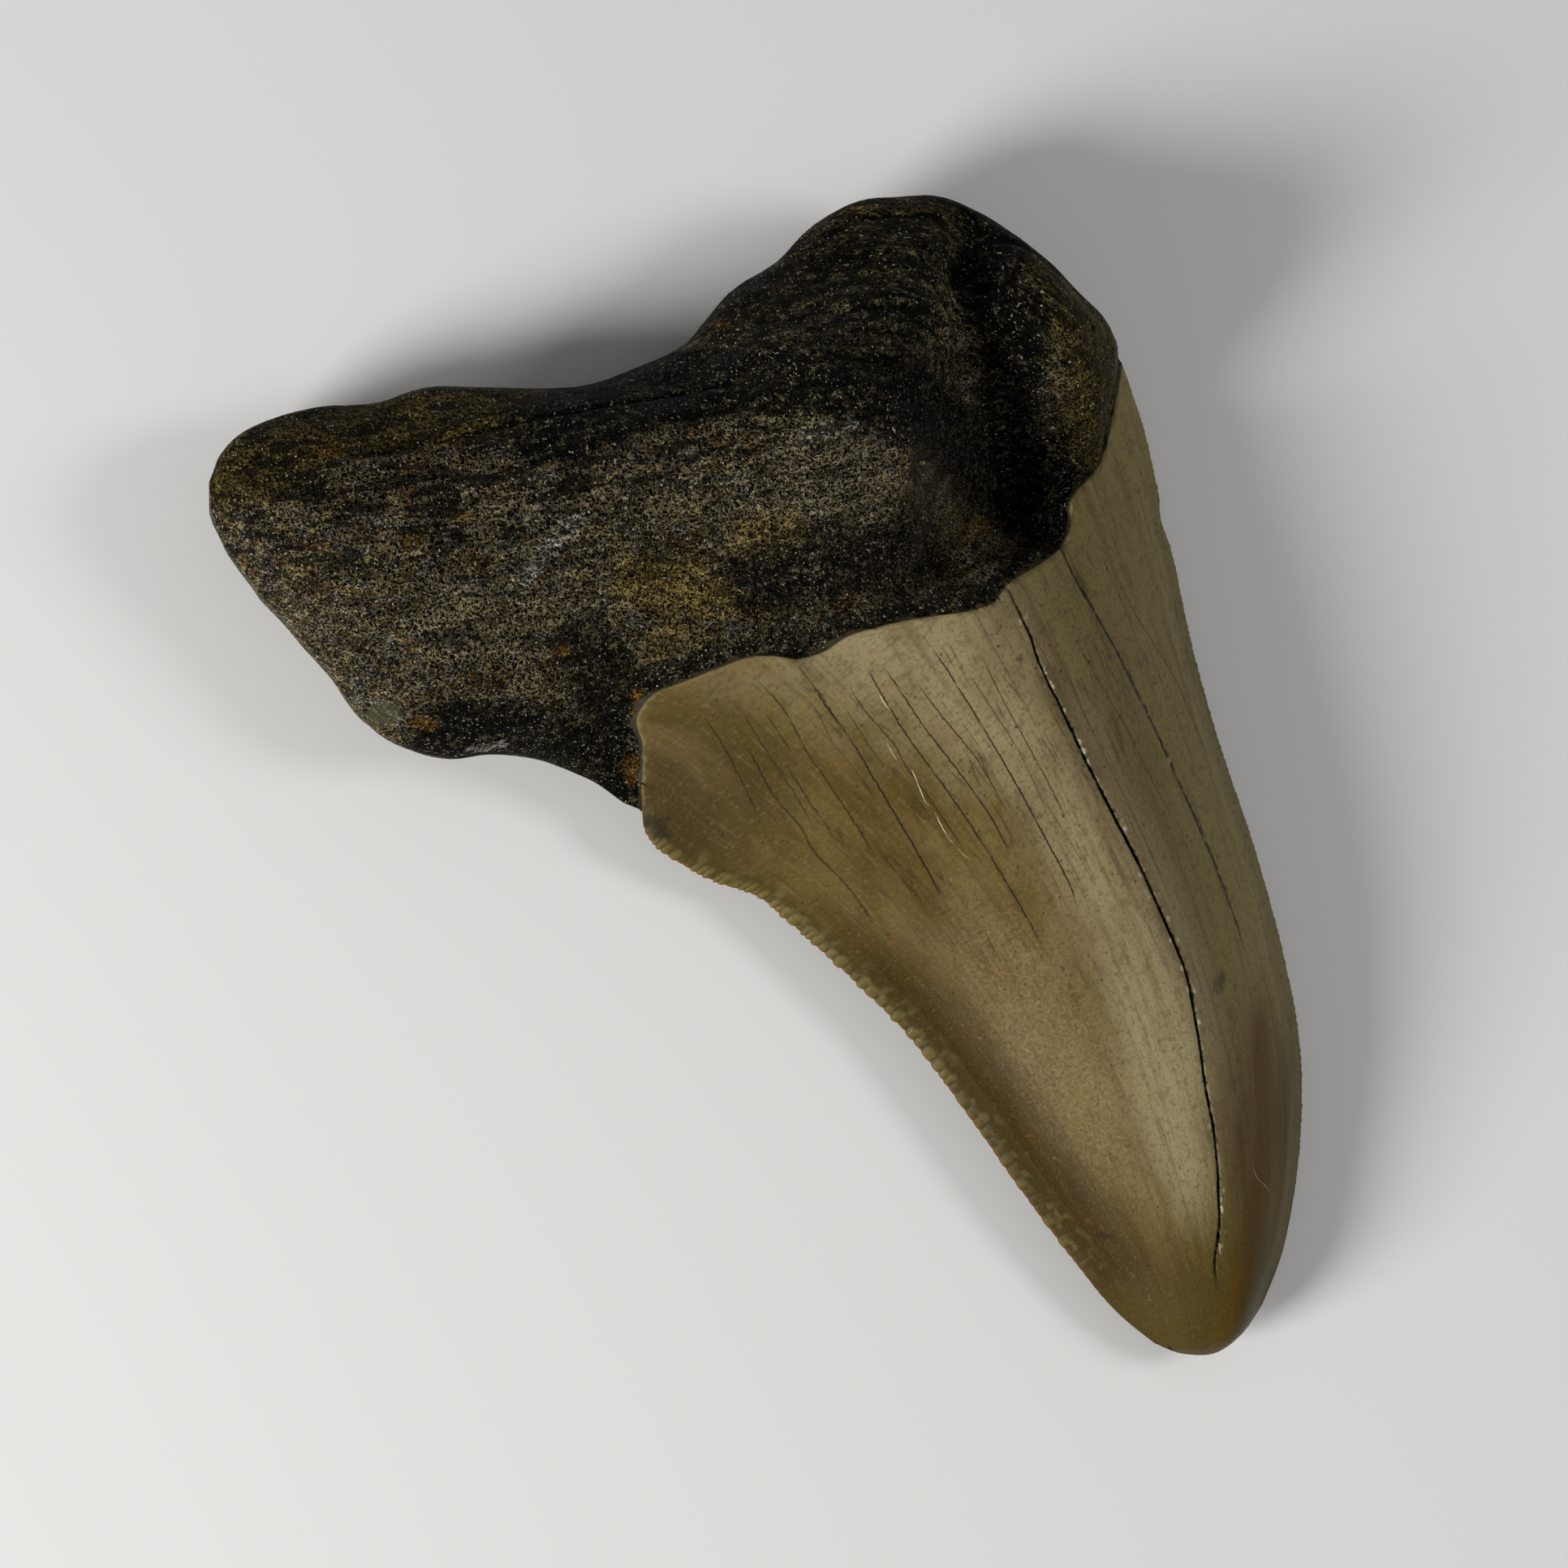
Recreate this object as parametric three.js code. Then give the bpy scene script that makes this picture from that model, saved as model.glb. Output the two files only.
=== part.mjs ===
// Fossil megalodon tooth, one solid, lying on its flatter labial face with the bulging lingual face up.
// X runs across the tooth, +Y towards the root, -Y towards the tip, +Z up. Millimetres.
import * as THREE from "three";

// Driving dimensions
const edgeHeight = 3.2; // the cutting edges' height above the table
const edgeBow = 0.5; // how much higher they run halfway along the crown
const rimLeft = 6.8; // the root's widest line above the table, on the long lobe
const rimRight = 8.4; // and on the short lobe
const crownRise = 12.4; // the crown's ridge above its cutting edges, at the base
const flangeLeft = 7.0; // width of the thin margin along the concave edge
const flangeRight = 3.2; // and along the convex edge
const rootRounding = 9.0; // radius of the root's rounded sides on the lingual face
const labialRounding = 6.5; // and on the labial face
const crownLabialReach = 9.0; // the labial face falls from the cutting edges over this width
const tipRounding = 5.0;
const enamelStep = 0.45; // the enamel stands this proud of the root's neck
const neckLeft = 7.5; // the root swells from the enamel over this length on the left
const neckRight = 3.2; // and on the right
const labialLevel = 1.0; // height of the labial face above the table between its resting spots
const restDrop = 1.9; // how far the resting spots reach below it
const serrationDepth = 0.24;
const serrationsPerRow = 2;
const crackDepth = 0.45;
const secondCrackDepth = 0.3;
const crackHalfWidth = 0.3;

// The rows' parameter u runs from the basal margin, 0, to the tip, 1. The parameter v runs from left, 0, to right, 1.
const baseShare = 0.34; // where the crown begins along the tooth's two sides
const topReach = 0.3; // how far down the basal margin's curve is felt
const tipReach = 0.12; // and how far up the tip's
const rimFallFrom = 0.13; // where the outline starts to drop to the cutting edges, above the crown's base
const rimFallOver = 0.22; // and over what share of the rows' parameter
const sideReach = 0.16; // how far in the small bends of the sides are felt
const sideSmoothing = 0.075; // length of side that its smoothed course averages
const borderGap = 0.0022; // half the width of the step at the enamel's border

// Resolution
const rootRows = 24;
const crownRows = 52;
const columnsBetweenCracks = [12, 5, 9]; // left edge to main crack, to second crack, to right edge
const outlineSamples = 90; // points along each stretch of the outline
const borderSamples = 160;

const point = (x, y) => new THREE.Vector2(x, y);
const spline = (...pairs) => new THREE.SplineCurve(pairs.map(([x, y]) => point(x, y)));

// The outline seen from above, in six stretches
const basalMargin = spline(
  [-54.7, 27.0], [-52.2, 29.2], [-48.8, 29.9], [-43.5, 29.2], [-38.7, 27.5], [-33.4, 26.9], [-27.5, 24.2],
  [-21.6, 22.0],
  [-16.2, 21.6], [-12.0, 21.8], [-8.8, 23.0], [-5.2, 24.4], [-0.6, 25.1], [4.0, 26.8], [8.6, 27.1],
  [12.5, 26.0], [15.8, 24.5], [18.2, 22.0], [20.2, 19.0],
);
const leftRoot = spline(
  [-54.7, 27.0], [-55.9, 23.8], [-55.5, 19.0], [-53.9, 13.5], [-52.3, 8.0], [-51.4, 3.8], [-49.2, 0.2],
  [-46.0, -2.3], [-42.4, -3.4], [-38.6, -5.4], [-35.2, -8.8], [-33.2, -11.6], [-31.8, -12.9],
);
const leftCrown = spline(
  [-31.8, -12.9], [-32.1, -15.9], [-28.7, -20.7], [-25.6, -23.6], [-23.9, -26.8], [-20.9, -33.6],
  [-18.2, -40.8], [-16.4, -48.7], [-14.8, -56.9], [-12.9, -64.7], [-11.3, -69.7], [-9.3, -73.6],
);
const rightRoot = spline([20.2, 19.0], [22.0, 15.4], [23.4, 11.6], [24.9, 8.2], [26.3, 5.1]);
const rightCrown = spline(
  [26.3, 5.1], [26.2, -0.6], [25.1, -6.3], [24.1, -8.9], [23.6, -12.4], [21.5, -20.6], [19.9, -29.5],
  [18.8, -38.5], [16.9, -48.6], [14.4, -57.0], [10.4, -64.7], [5.6, -71.2], [1.5, -74.9],
);
const tipArc = spline([-9.3, -73.6], [-7.4, -75.5], [-4.6, -76.8], [-1.5, -76.4], [1.5, -74.9]);

const clamp01 = (t) => THREE.MathUtils.clamp(t, 0, 1);
const smooth = (t) => THREE.MathUtils.smoothstep(t, 0, 1);
const mix = THREE.MathUtils.lerp;
const bell = (distance, reach) => Math.exp(-((distance / reach) ** 2));

// A smooth function through knots [[t, value], ...]
function track(...knots) {
  const samples = spline(...knots).getPoints(knots.length * 12);
  return (t) => {
    const k = samples.findIndex((p) => p.x >= t);
    if (k <= 0) return samples[k === 0 ? 0 : samples.length - 1].y;
    const [a, b] = [samples[k - 1], samples[k]];
    return mix(a.y, b.y, (t - a.x) / (b.x - a.x));
  };
}

// How the shape changes from the base of the crown, 0, to its tip, 1
const crownFade = track([-0.6, 1], [0, 1], [0.2, 0.93], [0.4, 0.8], [0.6, 0.65], [0.8, 0.46], [0.93, 0.32], [1, 0.24]);
const ridgePlace = track([-0.6, 0.54], [0, 0.54], [0.3, 0.56], [0.6, 0.57], [1, 0.55]);
const mainCrackPlace = track(
  [-0.6, 0.6], [-0.1, 0.59], [0.121, 0.584], [0.18, 0.576], [0.265, 0.573], [0.35, 0.578], [0.43, 0.588],
  [0.517, 0.596], [0.578, 0.602], [0.642, 0.585], [0.708, 0.562], [0.771, 0.555], [0.818, 0.543], [0.873, 0.52],
  [0.92, 0.465], [1, 0.46],
);
const secondCrackPlace = track(
  [-0.6, 0.74], [-0.1, 0.715], [0.119, 0.712], [0.174, 0.724], [0.247, 0.744], [0.309, 0.76], [0.375, 0.777],
  [0.443, 0.793], [0.508, 0.81], [0.555, 0.818], [0.605, 0.822], [0.8, 0.82], [1, 0.76],
);
const mainCrackSpan = [0.05, 0.93];
const secondCrackSpan = [0.04, 0.61];

// The enamel's upper border from left to right: its share of the rows' parameter
const lingualBorder = track(
  [0, 0.34], [0.02, 0.334], [0.058, 0.321], [0.088, 0.306], [0.115, 0.286], [0.155, 0.276], [0.188, 0.283],
  [0.225, 0.292], [0.255, 0.3], [0.272, 0.31], [0.29, 0.328], [0.322, 0.338], [0.36, 0.341], [0.43, 0.362],
  [0.492, 0.384], [0.548, 0.399], [0.595, 0.396], [0.66, 0.402], [0.715, 0.404], [0.753, 0.396], [0.772, 0.382],
  [0.805, 0.379], [0.87, 0.378], [0.918, 0.365], [0.948, 0.354], [1, 0.34],
);
const labialBorder = track([0, 0.34], [0.12, 0.3], [0.3, 0.262], [0.5, 0.25], [0.7, 0.262], [0.88, 0.3], [1, 0.34]);

// The root's crest, from the long lobe's end over the boss to the short lobe: its place, and its rise above the rim
const crestPlace = track(
  [-60, 21], [-54, 19.5], [-47, 17], [-39.5, 14.5], [-32.4, 13.4], [-20.5, 12.1], [-8.2, 10.6], [0, 9.8],
  [8, 11], [18.6, 11.4], [28, 9],
);
const crestRise = track(
  [-60, 3.6], [-54, 4.6], [-47, 5.6], [-39.5, 6.8], [-32.4, 8], [-20.5, 9.8], [-11, 11.8], [-5.5, 12.6],
  [0, 12], [6, 9.8], [12, 8.6], [18.6, 8.4], [28, 7],
);

// Dents and swellings of the root's front: from, to, reach, height at each end
const rootForms = [
  { from: point(17.6, 23.5), to: point(12.6, 16.4), reach: 2.4, heights: [-2.6, -2.0] }, // valley by the short lobe
  { from: point(12.6, 16.4), to: point(8.0, 8.0), reach: 3.2, heights: [-2.0, -2.2] },
  { from: point(8.0, 8.0), to: point(10.4, 1.0), reach: 4.4, heights: [-2.0, -3.2] },
  { from: point(11.0, -0.5), to: point(12.6, -2.0), reach: 4.6, heights: [-3.2, -3.2] }, // hollow by the enamel
  { from: point(0.0, 24.0), to: point(-14.0, 18.0), reach: 4.0, heights: [0.0, -1.6] },
  { from: point(18.5, 14.0), to: point(18.4, 3.5), reach: 4.6, heights: [1.2, 1.6] }, // the short lobe's side
  { from: point(-10.5, 8.5), to: point(-3.0, 8.0), reach: 4.5, heights: [0.8, 1.2] }, // the boss
  { from: point(-38, 5), to: point(-24, 3), reach: 7.0, heights: [-1.1, -0.9] },
  { from: point(-50, 9), to: point(-40, 0), reach: 4.0, heights: [0.0, 0.9] },
  { from: point(-45.4, 17.0), to: point(-37.1, 13.4), reach: 1.6, heights: [-0.5, -0.7] }, // a furrow
  { from: point(-50.8, 4.2), to: point(-50.2, 3.7), reach: 1.8, heights: [-0.9, -0.9] }, // the chipped corner
  { from: point(-40.0, 24.5), to: point(-31.0, 21.5), reach: 2.6, heights: [-0.5, -0.8] },
];

// The flattened spots that the tooth rests on
const restSpots = [
  { at: point(-44.0, 13.0), reach: 7.0 },
  { at: point(15.0, 15.0), reach: 7.0 },
  { at: point(-3.5, -66.0), reach: 6.0 },
];

const crownShare = (u) => (u - baseShare) / (1 - baseShare);

// Points on the two sides of the tooth, by arc length, and the same with the small bends averaged out
const sideAlong = (root, crown) => (u) =>
  u < baseShare ? root.getPointAt(clamp01(u / baseShare)) : crown.getPointAt(clamp01(crownShare(u)));
const leftSide = sideAlong(leftRoot, leftCrown);
const rightSide = sideAlong(rightRoot, rightCrown);

function smoothedSide(side, u) {
  const reach = Math.min(sideSmoothing, u, 1 - u);
  const offsets = [-1, -0.75, -0.5, -0.25, 0, 0.25, 0.5, 0.75, 1];
  const sum = offsets.reduce((total, k) => total.add(side(clamp01(u + k * reach))), point(0, 0));
  return sum.divideScalar(offsets.length);
}

// What a curve adds to the straight line between its ends, at a share of the way
function bow(curve, v) {
  const chord = curve.getPointAt(0).lerp(curve.getPointAt(1), v);
  return curve.getPointAt(clamp01(v)).sub(chord);
}

// A place on the tooth seen from above
function place(u, v) {
  const [leftInner, rightInner] = [smoothedSide(leftSide, u), smoothedSide(rightSide, u)];
  const nearLeft = clamp01(1 - v / sideReach) ** 2;
  const nearRight = clamp01(1 - (1 - v) / sideReach) ** 2;
  return leftInner
    .clone()
    .lerp(rightInner, v)
    .addScaledVector(leftSide(u).sub(leftInner), nearLeft)
    .addScaledVector(rightSide(u).sub(rightInner), nearRight)
    .addScaledVector(bow(basalMargin, v), clamp01(1 - u / topReach) ** 2)
    .addScaledVector(bow(tipArc, v), clamp01((u - 1 + tipReach) / tipReach) ** 2);
}

const nearest = (line, p) => Math.sqrt(Math.min(...line.map((q) => q.distanceToSquared(p))));
const outline = [basalMargin, rightRoot, rightCrown, tipArc, leftCrown, leftRoot].flatMap((curve) =>
  curve.getSpacedPoints(outlineSamples),
);
const borderLine = Array.from({ length: borderSamples + 1 }, (_, k) =>
  place(lingualBorder(k / borderSamples), k / borderSamples),
);

// The height of the outline: thin edges low on the crown, the root's widest line higher
function rimHeight(u, v) {
  const t = crownShare(u);
  const root = mix(rimLeft, rimRight, smooth(v));
  const edge = edgeHeight + edgeBow * Math.sin(Math.PI * clamp01(t)) - edgeBow * smooth((t - 0.7) / 0.3);
  return mix(root, edge, smooth((u - baseShare + rimFallFrom) / rimFallOver));
}

const roundRim = (d, radius) => Math.sqrt(1 - (1 - clamp01(d / radius)) ** 2);

// The crown's lens-shaped front above its edges, thinner along the margins and round at the tip
function crownFront(u, v, d) {
  const t = crownShare(Math.max(u, baseShare - 0.08));
  const ridge = ridgePlace(t);
  const w = v < ridge ? (ridge - v) / ridge : (v - ridge) / (1 - ridge);
  const lens = (1 - w ** 1.9) ** 1.3;
  const flange = (v < ridge ? flangeLeft : flangeRight) * mix(1, 0.5, smooth((t - 0.6) / 0.4));
  const margin = mix(smooth(d / flange), 1, 0.3) * Math.sqrt(clamp01(d / 0.7));
  const rounded = mix(margin, roundRim(d, tipRounding), smooth((t - 0.86) / 0.12));
  return crownRise * crownFade(t) * lens * rounded + 0.35 * clamp01(d / 0.8);
}

// The root's front above its widest line: a crest that falls away to both sides
function rootFront(p, v, d) {
  const s = p.y - crestPlace(p.x);
  const toMargin = mix(12.5, 11.0, smooth((p.x + 20) / 30));
  const toCrown = mix(19.0, 17.5, smooth((p.x + 30) / 30));
  const fall = Math.abs(s / (s > 0 ? toMargin : toCrown)) ** 1.75;
  return roundRim(d, rootRounding * mix(0.85, 1, smooth(v))) * crestRise(p.x) * Math.exp(-0.55 * fall);
}

function rootRelief(p) {
  const closest = point(0, 0);
  return rootForms.reduce((total, { from, to, reach, heights }) => {
    const along = to.clone().sub(from);
    const share = clamp01(p.clone().sub(from).dot(along) / along.lengthSq());
    closest.copy(from).addScaledVector(along, share);
    return total + mix(...heights, share) * bell(closest.distanceTo(p), reach);
  }, 0);
}

function crackCut(column, row, u) {
  const t = crownShare(u);
  const mainColumn = columnsBetweenCracks[0] + 1;
  const secondColumn = mainColumn + columnsBetweenCracks[1] + 2;
  const within = ([from, to]) => row > rootRows + 1 && t > from && t < to;
  if (column === mainColumn && within(mainCrackSpan)) return crackDepth;
  if (column === secondColumn && within(secondCrackSpan)) return secondCrackDepth;
  return 0;
}

function frontHeight(u, v, p, d) {
  const away = nearest(borderLine, p);
  const intoRoot = u < lingualBorder(v) ? away : -away;
  const swell = smooth(intoRoot / mix(neckLeft, neckRight, smooth((v - 0.45) / 0.3)));
  const step = intoRoot < 0 ? enamelStep * clamp01(d / 2) : 0;
  const relief = rootRelief(p) * clamp01(d / 2.5) * clamp01(intoRoot / 1.2);
  return rimHeight(u, v) + mix(crownFront(u, v, d), rootFront(p, v, d), swell) + step + relief;
}

// The labial face: nearly flat, a little hollow under the root, dipping to the table at the resting spots
function backHeight(u, v, p, d) {
  const rim = rimHeight(u, v);
  const t = crownShare(u);
  const inRoot = smooth((baseShare + 0.02 - u) / 0.1);
  const crownLevel = labialLevel - 0.1 + 0.5 * Math.sin(Math.PI * clamp01(t)) + 0.5 * (2 * v - 1) ** 2;
  const rootLevel = labialLevel + 0.1 + 0.9 * bell(p.x + 12, 13);
  const dips = restSpots.reduce((sum, { at, reach }) => sum + restDrop * bell(at.distanceTo(p), reach), 0);
  const step = u < labialBorder(v) ? 0.3 : 0;
  const level = mix(crownLevel, rootLevel, inRoot) + step - dips;
  const fullness = mix(1 - (1 - clamp01(d / crownLabialReach)) ** 2, roundRim(d, labialRounding), inRoot);
  return Math.max(0, rim - fullness * (rim - level));
}

// Column places from left to right, closer together at the edges and beside the two cracks
function columnPlaces(row, uAt) {
  const middle = uAt(row, baseShare);
  const half = crackHalfWidth / leftSide(middle).distanceTo(rightSide(middle));
  const crackAt = (crack) => crack(crownShare(uAt(row, lingualBorder(crack(0.1)))));
  const stops = [0, crackAt(mainCrackPlace), crackAt(secondCrackPlace), 1];
  const ease = [(s) => 1 - Math.cos((s * Math.PI) / 2), (s) => s, (s) => Math.sin((s * Math.PI) / 2)];
  return columnsBetweenCracks.flatMap((count, k) => {
    const from = stops[k] + (k > 0 ? half : 0);
    const to = stops[k + 1] - (k < 2 ? half : 0);
    const places = Array.from({ length: count + 1 }, (_, i) => mix(from, to, ease[k](i / count)));
    return k < 2 ? [...places, stops[k + 1]] : places;
  });
}

function toothGeometry() {
  const positions = [];
  const triangles = [];
  const addVertex = (x, y, z) => positions.push(x, y, z) / 3 - 1;
  const rows = rootRows + crownRows + 1;

  // A row's parameter where the enamel's border lies at the given one. Rows crowd towards the margins.
  const uAt = (row, border) => {
    const s = row / rootRows;
    if (row <= rootRows) return (border - borderGap) * (s - (0.5 * Math.sin(2 * Math.PI * s)) / (2 * Math.PI));
    const q = (row - rootRows - 1) / crownRows;
    return mix(border + borderGap, 1, q + (0.35 * Math.sin(Math.PI * q)) / Math.PI);
  };

  const columnsOfRow = Array.from({ length: rows + 1 }, (_, row) => columnPlaces(row, uAt));
  const grids = [lingualBorder, labialBorder].map((border) =>
    columnsOfRow.map((places, row) => places.map((v) => ({ u: uAt(row, border(v)), v }))),
  );
  const columns = columnsOfRow[0].length - 1;

  const rimVertices = new Map();
  const rimVertex = (row, column) => {
    const key = `${row},${column}`;
    if (!rimVertices.has(key)) {
      const { u, v } = grids[0][row][column];
      const p = place(u, v);
      rimVertices.set(key, addVertex(p.x, p.y, rimHeight(u, v)));
    }
    return rimVertices.get(key);
  };

  const faces = grids.map((grid, face) =>
    grid.map((cells, row) =>
      cells.map(({ u, v }, column) => {
        if (row === 0 || row === rows || column === 0 || column === columns) return rimVertex(row, column);
        const p = place(u, v);
        const d = nearest(outline, p);
        const z = face === 0 ? frontHeight(u, v, p, d) - crackCut(column, row, u) : backHeight(u, v, p, d);
        return addVertex(p.x, p.y, z);
      }),
    ),
  );

  // The serrated edges: extra vertices between the rows of each side, every second one set back
  const stepsPerRow = serrationsPerRow * 2;
  const serratedEdge = (column, side) =>
    Array.from({ length: crownRows }, (_, k) => {
      const row = rootRows + 1 + k;
      const [from, to] = [grids[0][row][column].u, grids[0][row + 1][column].u];
      const chain = [rimVertex(row, column)];
      for (let i = 1; i < stepsPerRow; i++) {
        const u = mix(from, to, i / stepsPerRow);
        const tangent = side(to).sub(side(from)).normalize();
        const inwards = point(-tangent.y, tangent.x).multiplyScalar(column === 0 ? 1 : -1);
        const p = side(u).addScaledVector(inwards, i % 2 ? serrationDepth : 0);
        chain.push(addVertex(p.x, p.y, rimHeight(u, column === 0 ? 0 : 1)));
      }
      chain.push(rimVertex(row + 1, column));
      return chain;
    });
  const leftChains = serratedEdge(0, leftSide);
  const rightChains = serratedEdge(columns, rightSide);

  // A triangle wound so that its face points out of the given side
  const addTriangle = (a, b, c, face) => triangles.push(...(face === 0 ? [a, b, c] : [a, c, b]));

  // A strip of triangles from a finely divided edge to one coarse step beside it
  function fanStrip(chain, top, bottom, face, turned) {
    const half = chain.length >> 1;
    const add = (a, b, c) => (turned ? addTriangle(a, c, b, face) : addTriangle(a, b, c, face));
    for (let i = 0; i + 1 < chain.length; i++) {
      add(chain[i], chain[i + 1], i < half ? top : bottom);
    }
    add(chain[half], bottom, top);
  }

  faces.forEach((grid, face) => {
    for (let row = 0; row < rows; row++) {
      const inCrown = row > rootRows;
      for (let column = 0; column < columns; column++) {
        const [a, b] = [grid[row][column], grid[row][column + 1]];
        const [c, e] = [grid[row + 1][column], grid[row + 1][column + 1]];
        if (inCrown && column === 0) {
          fanStrip(leftChains[row - rootRows - 1], b, e, face, false);
        } else if (inCrown && column === columns - 1) {
          fanStrip(rightChains[row - rootRows - 1], a, c, face, true);
        } else {
          addTriangle(a, c, b, face);
          addTriangle(b, c, e, face);
        }
      }
    }
  });

  const geometry = new THREE.BufferGeometry();
  geometry.setAttribute("position", new THREE.Float32BufferAttribute(positions, 3));
  geometry.setIndex(triangles);
  return geometry;
}

const fossil = new THREE.MeshStandardMaterial({ color: 0x7c7158, roughness: 0.45, metalness: 0 });
const tooth = new THREE.Mesh(toothGeometry(), fossil);
tooth.name = "tooth";

// The origin is the middle of the tooth's box, on the table
tooth.geometry.computeBoundingBox();
const middle = tooth.geometry.boundingBox.getCenter(new THREE.Vector3());
tooth.position.set(-middle.x, -middle.y, 0);

const part = new THREE.Group();
part.add(tooth);
export default part;
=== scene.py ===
import math

import bpy
import numpy as np
from mathutils import Matrix, Vector
from mathutils.kdtree import KDTree


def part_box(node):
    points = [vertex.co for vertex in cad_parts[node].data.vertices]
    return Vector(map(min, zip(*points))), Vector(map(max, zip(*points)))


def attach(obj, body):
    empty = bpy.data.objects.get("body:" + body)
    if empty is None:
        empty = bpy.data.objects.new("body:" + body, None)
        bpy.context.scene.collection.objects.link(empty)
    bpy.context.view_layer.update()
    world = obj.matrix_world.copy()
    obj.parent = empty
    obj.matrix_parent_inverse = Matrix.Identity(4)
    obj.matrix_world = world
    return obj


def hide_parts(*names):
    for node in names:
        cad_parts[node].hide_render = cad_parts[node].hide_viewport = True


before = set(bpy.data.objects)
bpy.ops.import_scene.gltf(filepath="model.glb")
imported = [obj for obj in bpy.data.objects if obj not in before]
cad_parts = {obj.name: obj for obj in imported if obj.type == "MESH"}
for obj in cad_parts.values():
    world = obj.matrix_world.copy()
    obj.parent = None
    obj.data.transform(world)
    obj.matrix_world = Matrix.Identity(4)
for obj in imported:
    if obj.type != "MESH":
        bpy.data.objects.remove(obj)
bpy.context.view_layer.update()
mm = 0.001

# The tooth seen from above, in millimetres: x across it, y from the tip towards the root, and z up.
# Six stretches make the outline, each a smooth curve through its points.
outline = {
    "basalMargin": [
        (-54.7, 27.0), (-52.2, 29.2), (-48.8, 29.9), (-43.5, 29.2), (-38.7, 27.5), (-33.4, 26.9),
        (-27.5, 24.2), (-21.6, 22.0), (-16.2, 21.6), (-12.0, 21.8), (-8.8, 23.0), (-5.2, 24.4),
        (-0.6, 25.1), (4.0, 26.8), (8.6, 27.1), (12.5, 26.0), (15.8, 24.5), (18.2, 22.0), (20.2, 19.0),
    ],
    "leftRoot": [
        (-54.7, 27.0), (-55.9, 23.8), (-55.5, 19.0), (-53.9, 13.5), (-52.3, 8.0), (-51.4, 3.8),
        (-49.2, 0.2), (-46.0, -2.3), (-42.4, -3.4), (-38.6, -5.4), (-35.2, -8.8), (-33.2, -11.6),
        (-31.8, -12.9),
    ],
    "leftCrown": [
        (-31.8, -12.9), (-32.1, -15.9), (-28.7, -20.7), (-25.6, -23.6), (-23.9, -26.8), (-20.9, -33.6),
        (-18.2, -40.8), (-16.4, -48.7), (-14.8, -56.9), (-12.9, -64.7), (-11.3, -69.7), (-9.3, -73.6),
    ],
    "rightRoot": [(20.2, 19.0), (22.0, 15.4), (23.4, 11.6), (24.9, 8.2), (26.3, 5.1)],
    "rightCrown": [
        (26.3, 5.1), (26.2, -0.6), (25.1, -6.3), (24.1, -8.9), (23.6, -12.4), (21.5, -20.6),
        (19.9, -29.5), (18.8, -38.5), (16.9, -48.6), (14.4, -57.0), (10.4, -64.7), (5.6, -71.2),
        (1.5, -74.9),
    ],
    "tip": [(-9.3, -73.6), (-7.4, -75.5), (-4.6, -76.8), (-1.5, -76.4), (1.5, -74.9)],
}

# Heights and widths of the solid, in millimetres
form = {
    "edgeHeight": 3.2,  # the cutting edges above the table
    "edgeBow": 0.5,  # how far they rise in the middle of the crown
    "tipDrop": 0.5,  # and drop again at the tip
    "rootRimLeft": 6.8,  # the root's widest line above the table, on the long lobe
    "rootRimRight": 8.4,  # and on the short one
    "crownRise": 12.4,  # the crown's ridge above its edges, at the base
    "crownLens": (1.9, 1.3),  # powers of its cross section: one broadens the ridge, one thins the sides
    "flangeLeft": 7.0,  # width of the thin margin along the concave edge
    "flangeRight": 3.2,  # and along the convex one
    "flangeAtTip": 0.5,  # the share of that width which is left at the tip
    "flangeThickness": 0.3,
    "tipRounding": 5.0,
    "edgeLip": 0.35,  # how far the enamel stands up right at the edges
    "rootRounding": 9.0,
    "crestUpper": (12.5, 11.0),  # the root's slope above its crest, at the long lobe and at the short one
    "crestLower": (19.0, 17.5),  # and below it
    "crestFall": (1.75, 0.55),  # power and steepness of these slopes
    "enamelStep": 0.45,  # the enamel stands this proud of the root
    "neckLeft": 7.5,  # the root swells from the enamel over this length
    "neckRight": 3.2,
    "baseShare": 0.34,  # share of the rows' parameter that is root along the tooth's two sides
    "rimFallFrom": 0.13,  # where the outline starts to drop to the cutting edges, above the crown's base
    "rimFallOver": 0.22,  # and over what share of the rows' parameter
    "sideSmoothing": 0.075,  # the inside of the tooth follows its sides smoothed over this share of the rows
    "sideReach": 0.16,  # and their fine shape this far in, as a share of the width
    "marginPull": 0.3,  # the rows that bend to follow the basal margin
    "tipPull": 0.12,  # and the tip
}

# The labial face, which the tooth lies on: heights above the table and roundings, in millimetres
backForm = {
    "crown": (0.9, 0.5, 0.5),  # its lowest level, and the rise to the middle and to both edges
    "root": (1.1, 0.9),  # its level, and the rise in the hollow
    "hollow": (-12, 13),  # the middle of the hollow and its reach
    "rootStep": 0.3,
    "crownRounding": 9.0,
    "rootRounding": 6.5,
    "restDrop": 1.9,  # how far the resting spots reach below the face around them
}
restSpots = [((-44.0, 13.0), 7.0), ((15.0, 15.0), 7.0), ((-3.5, -66.0), 6.0)]  # place and reach

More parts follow.
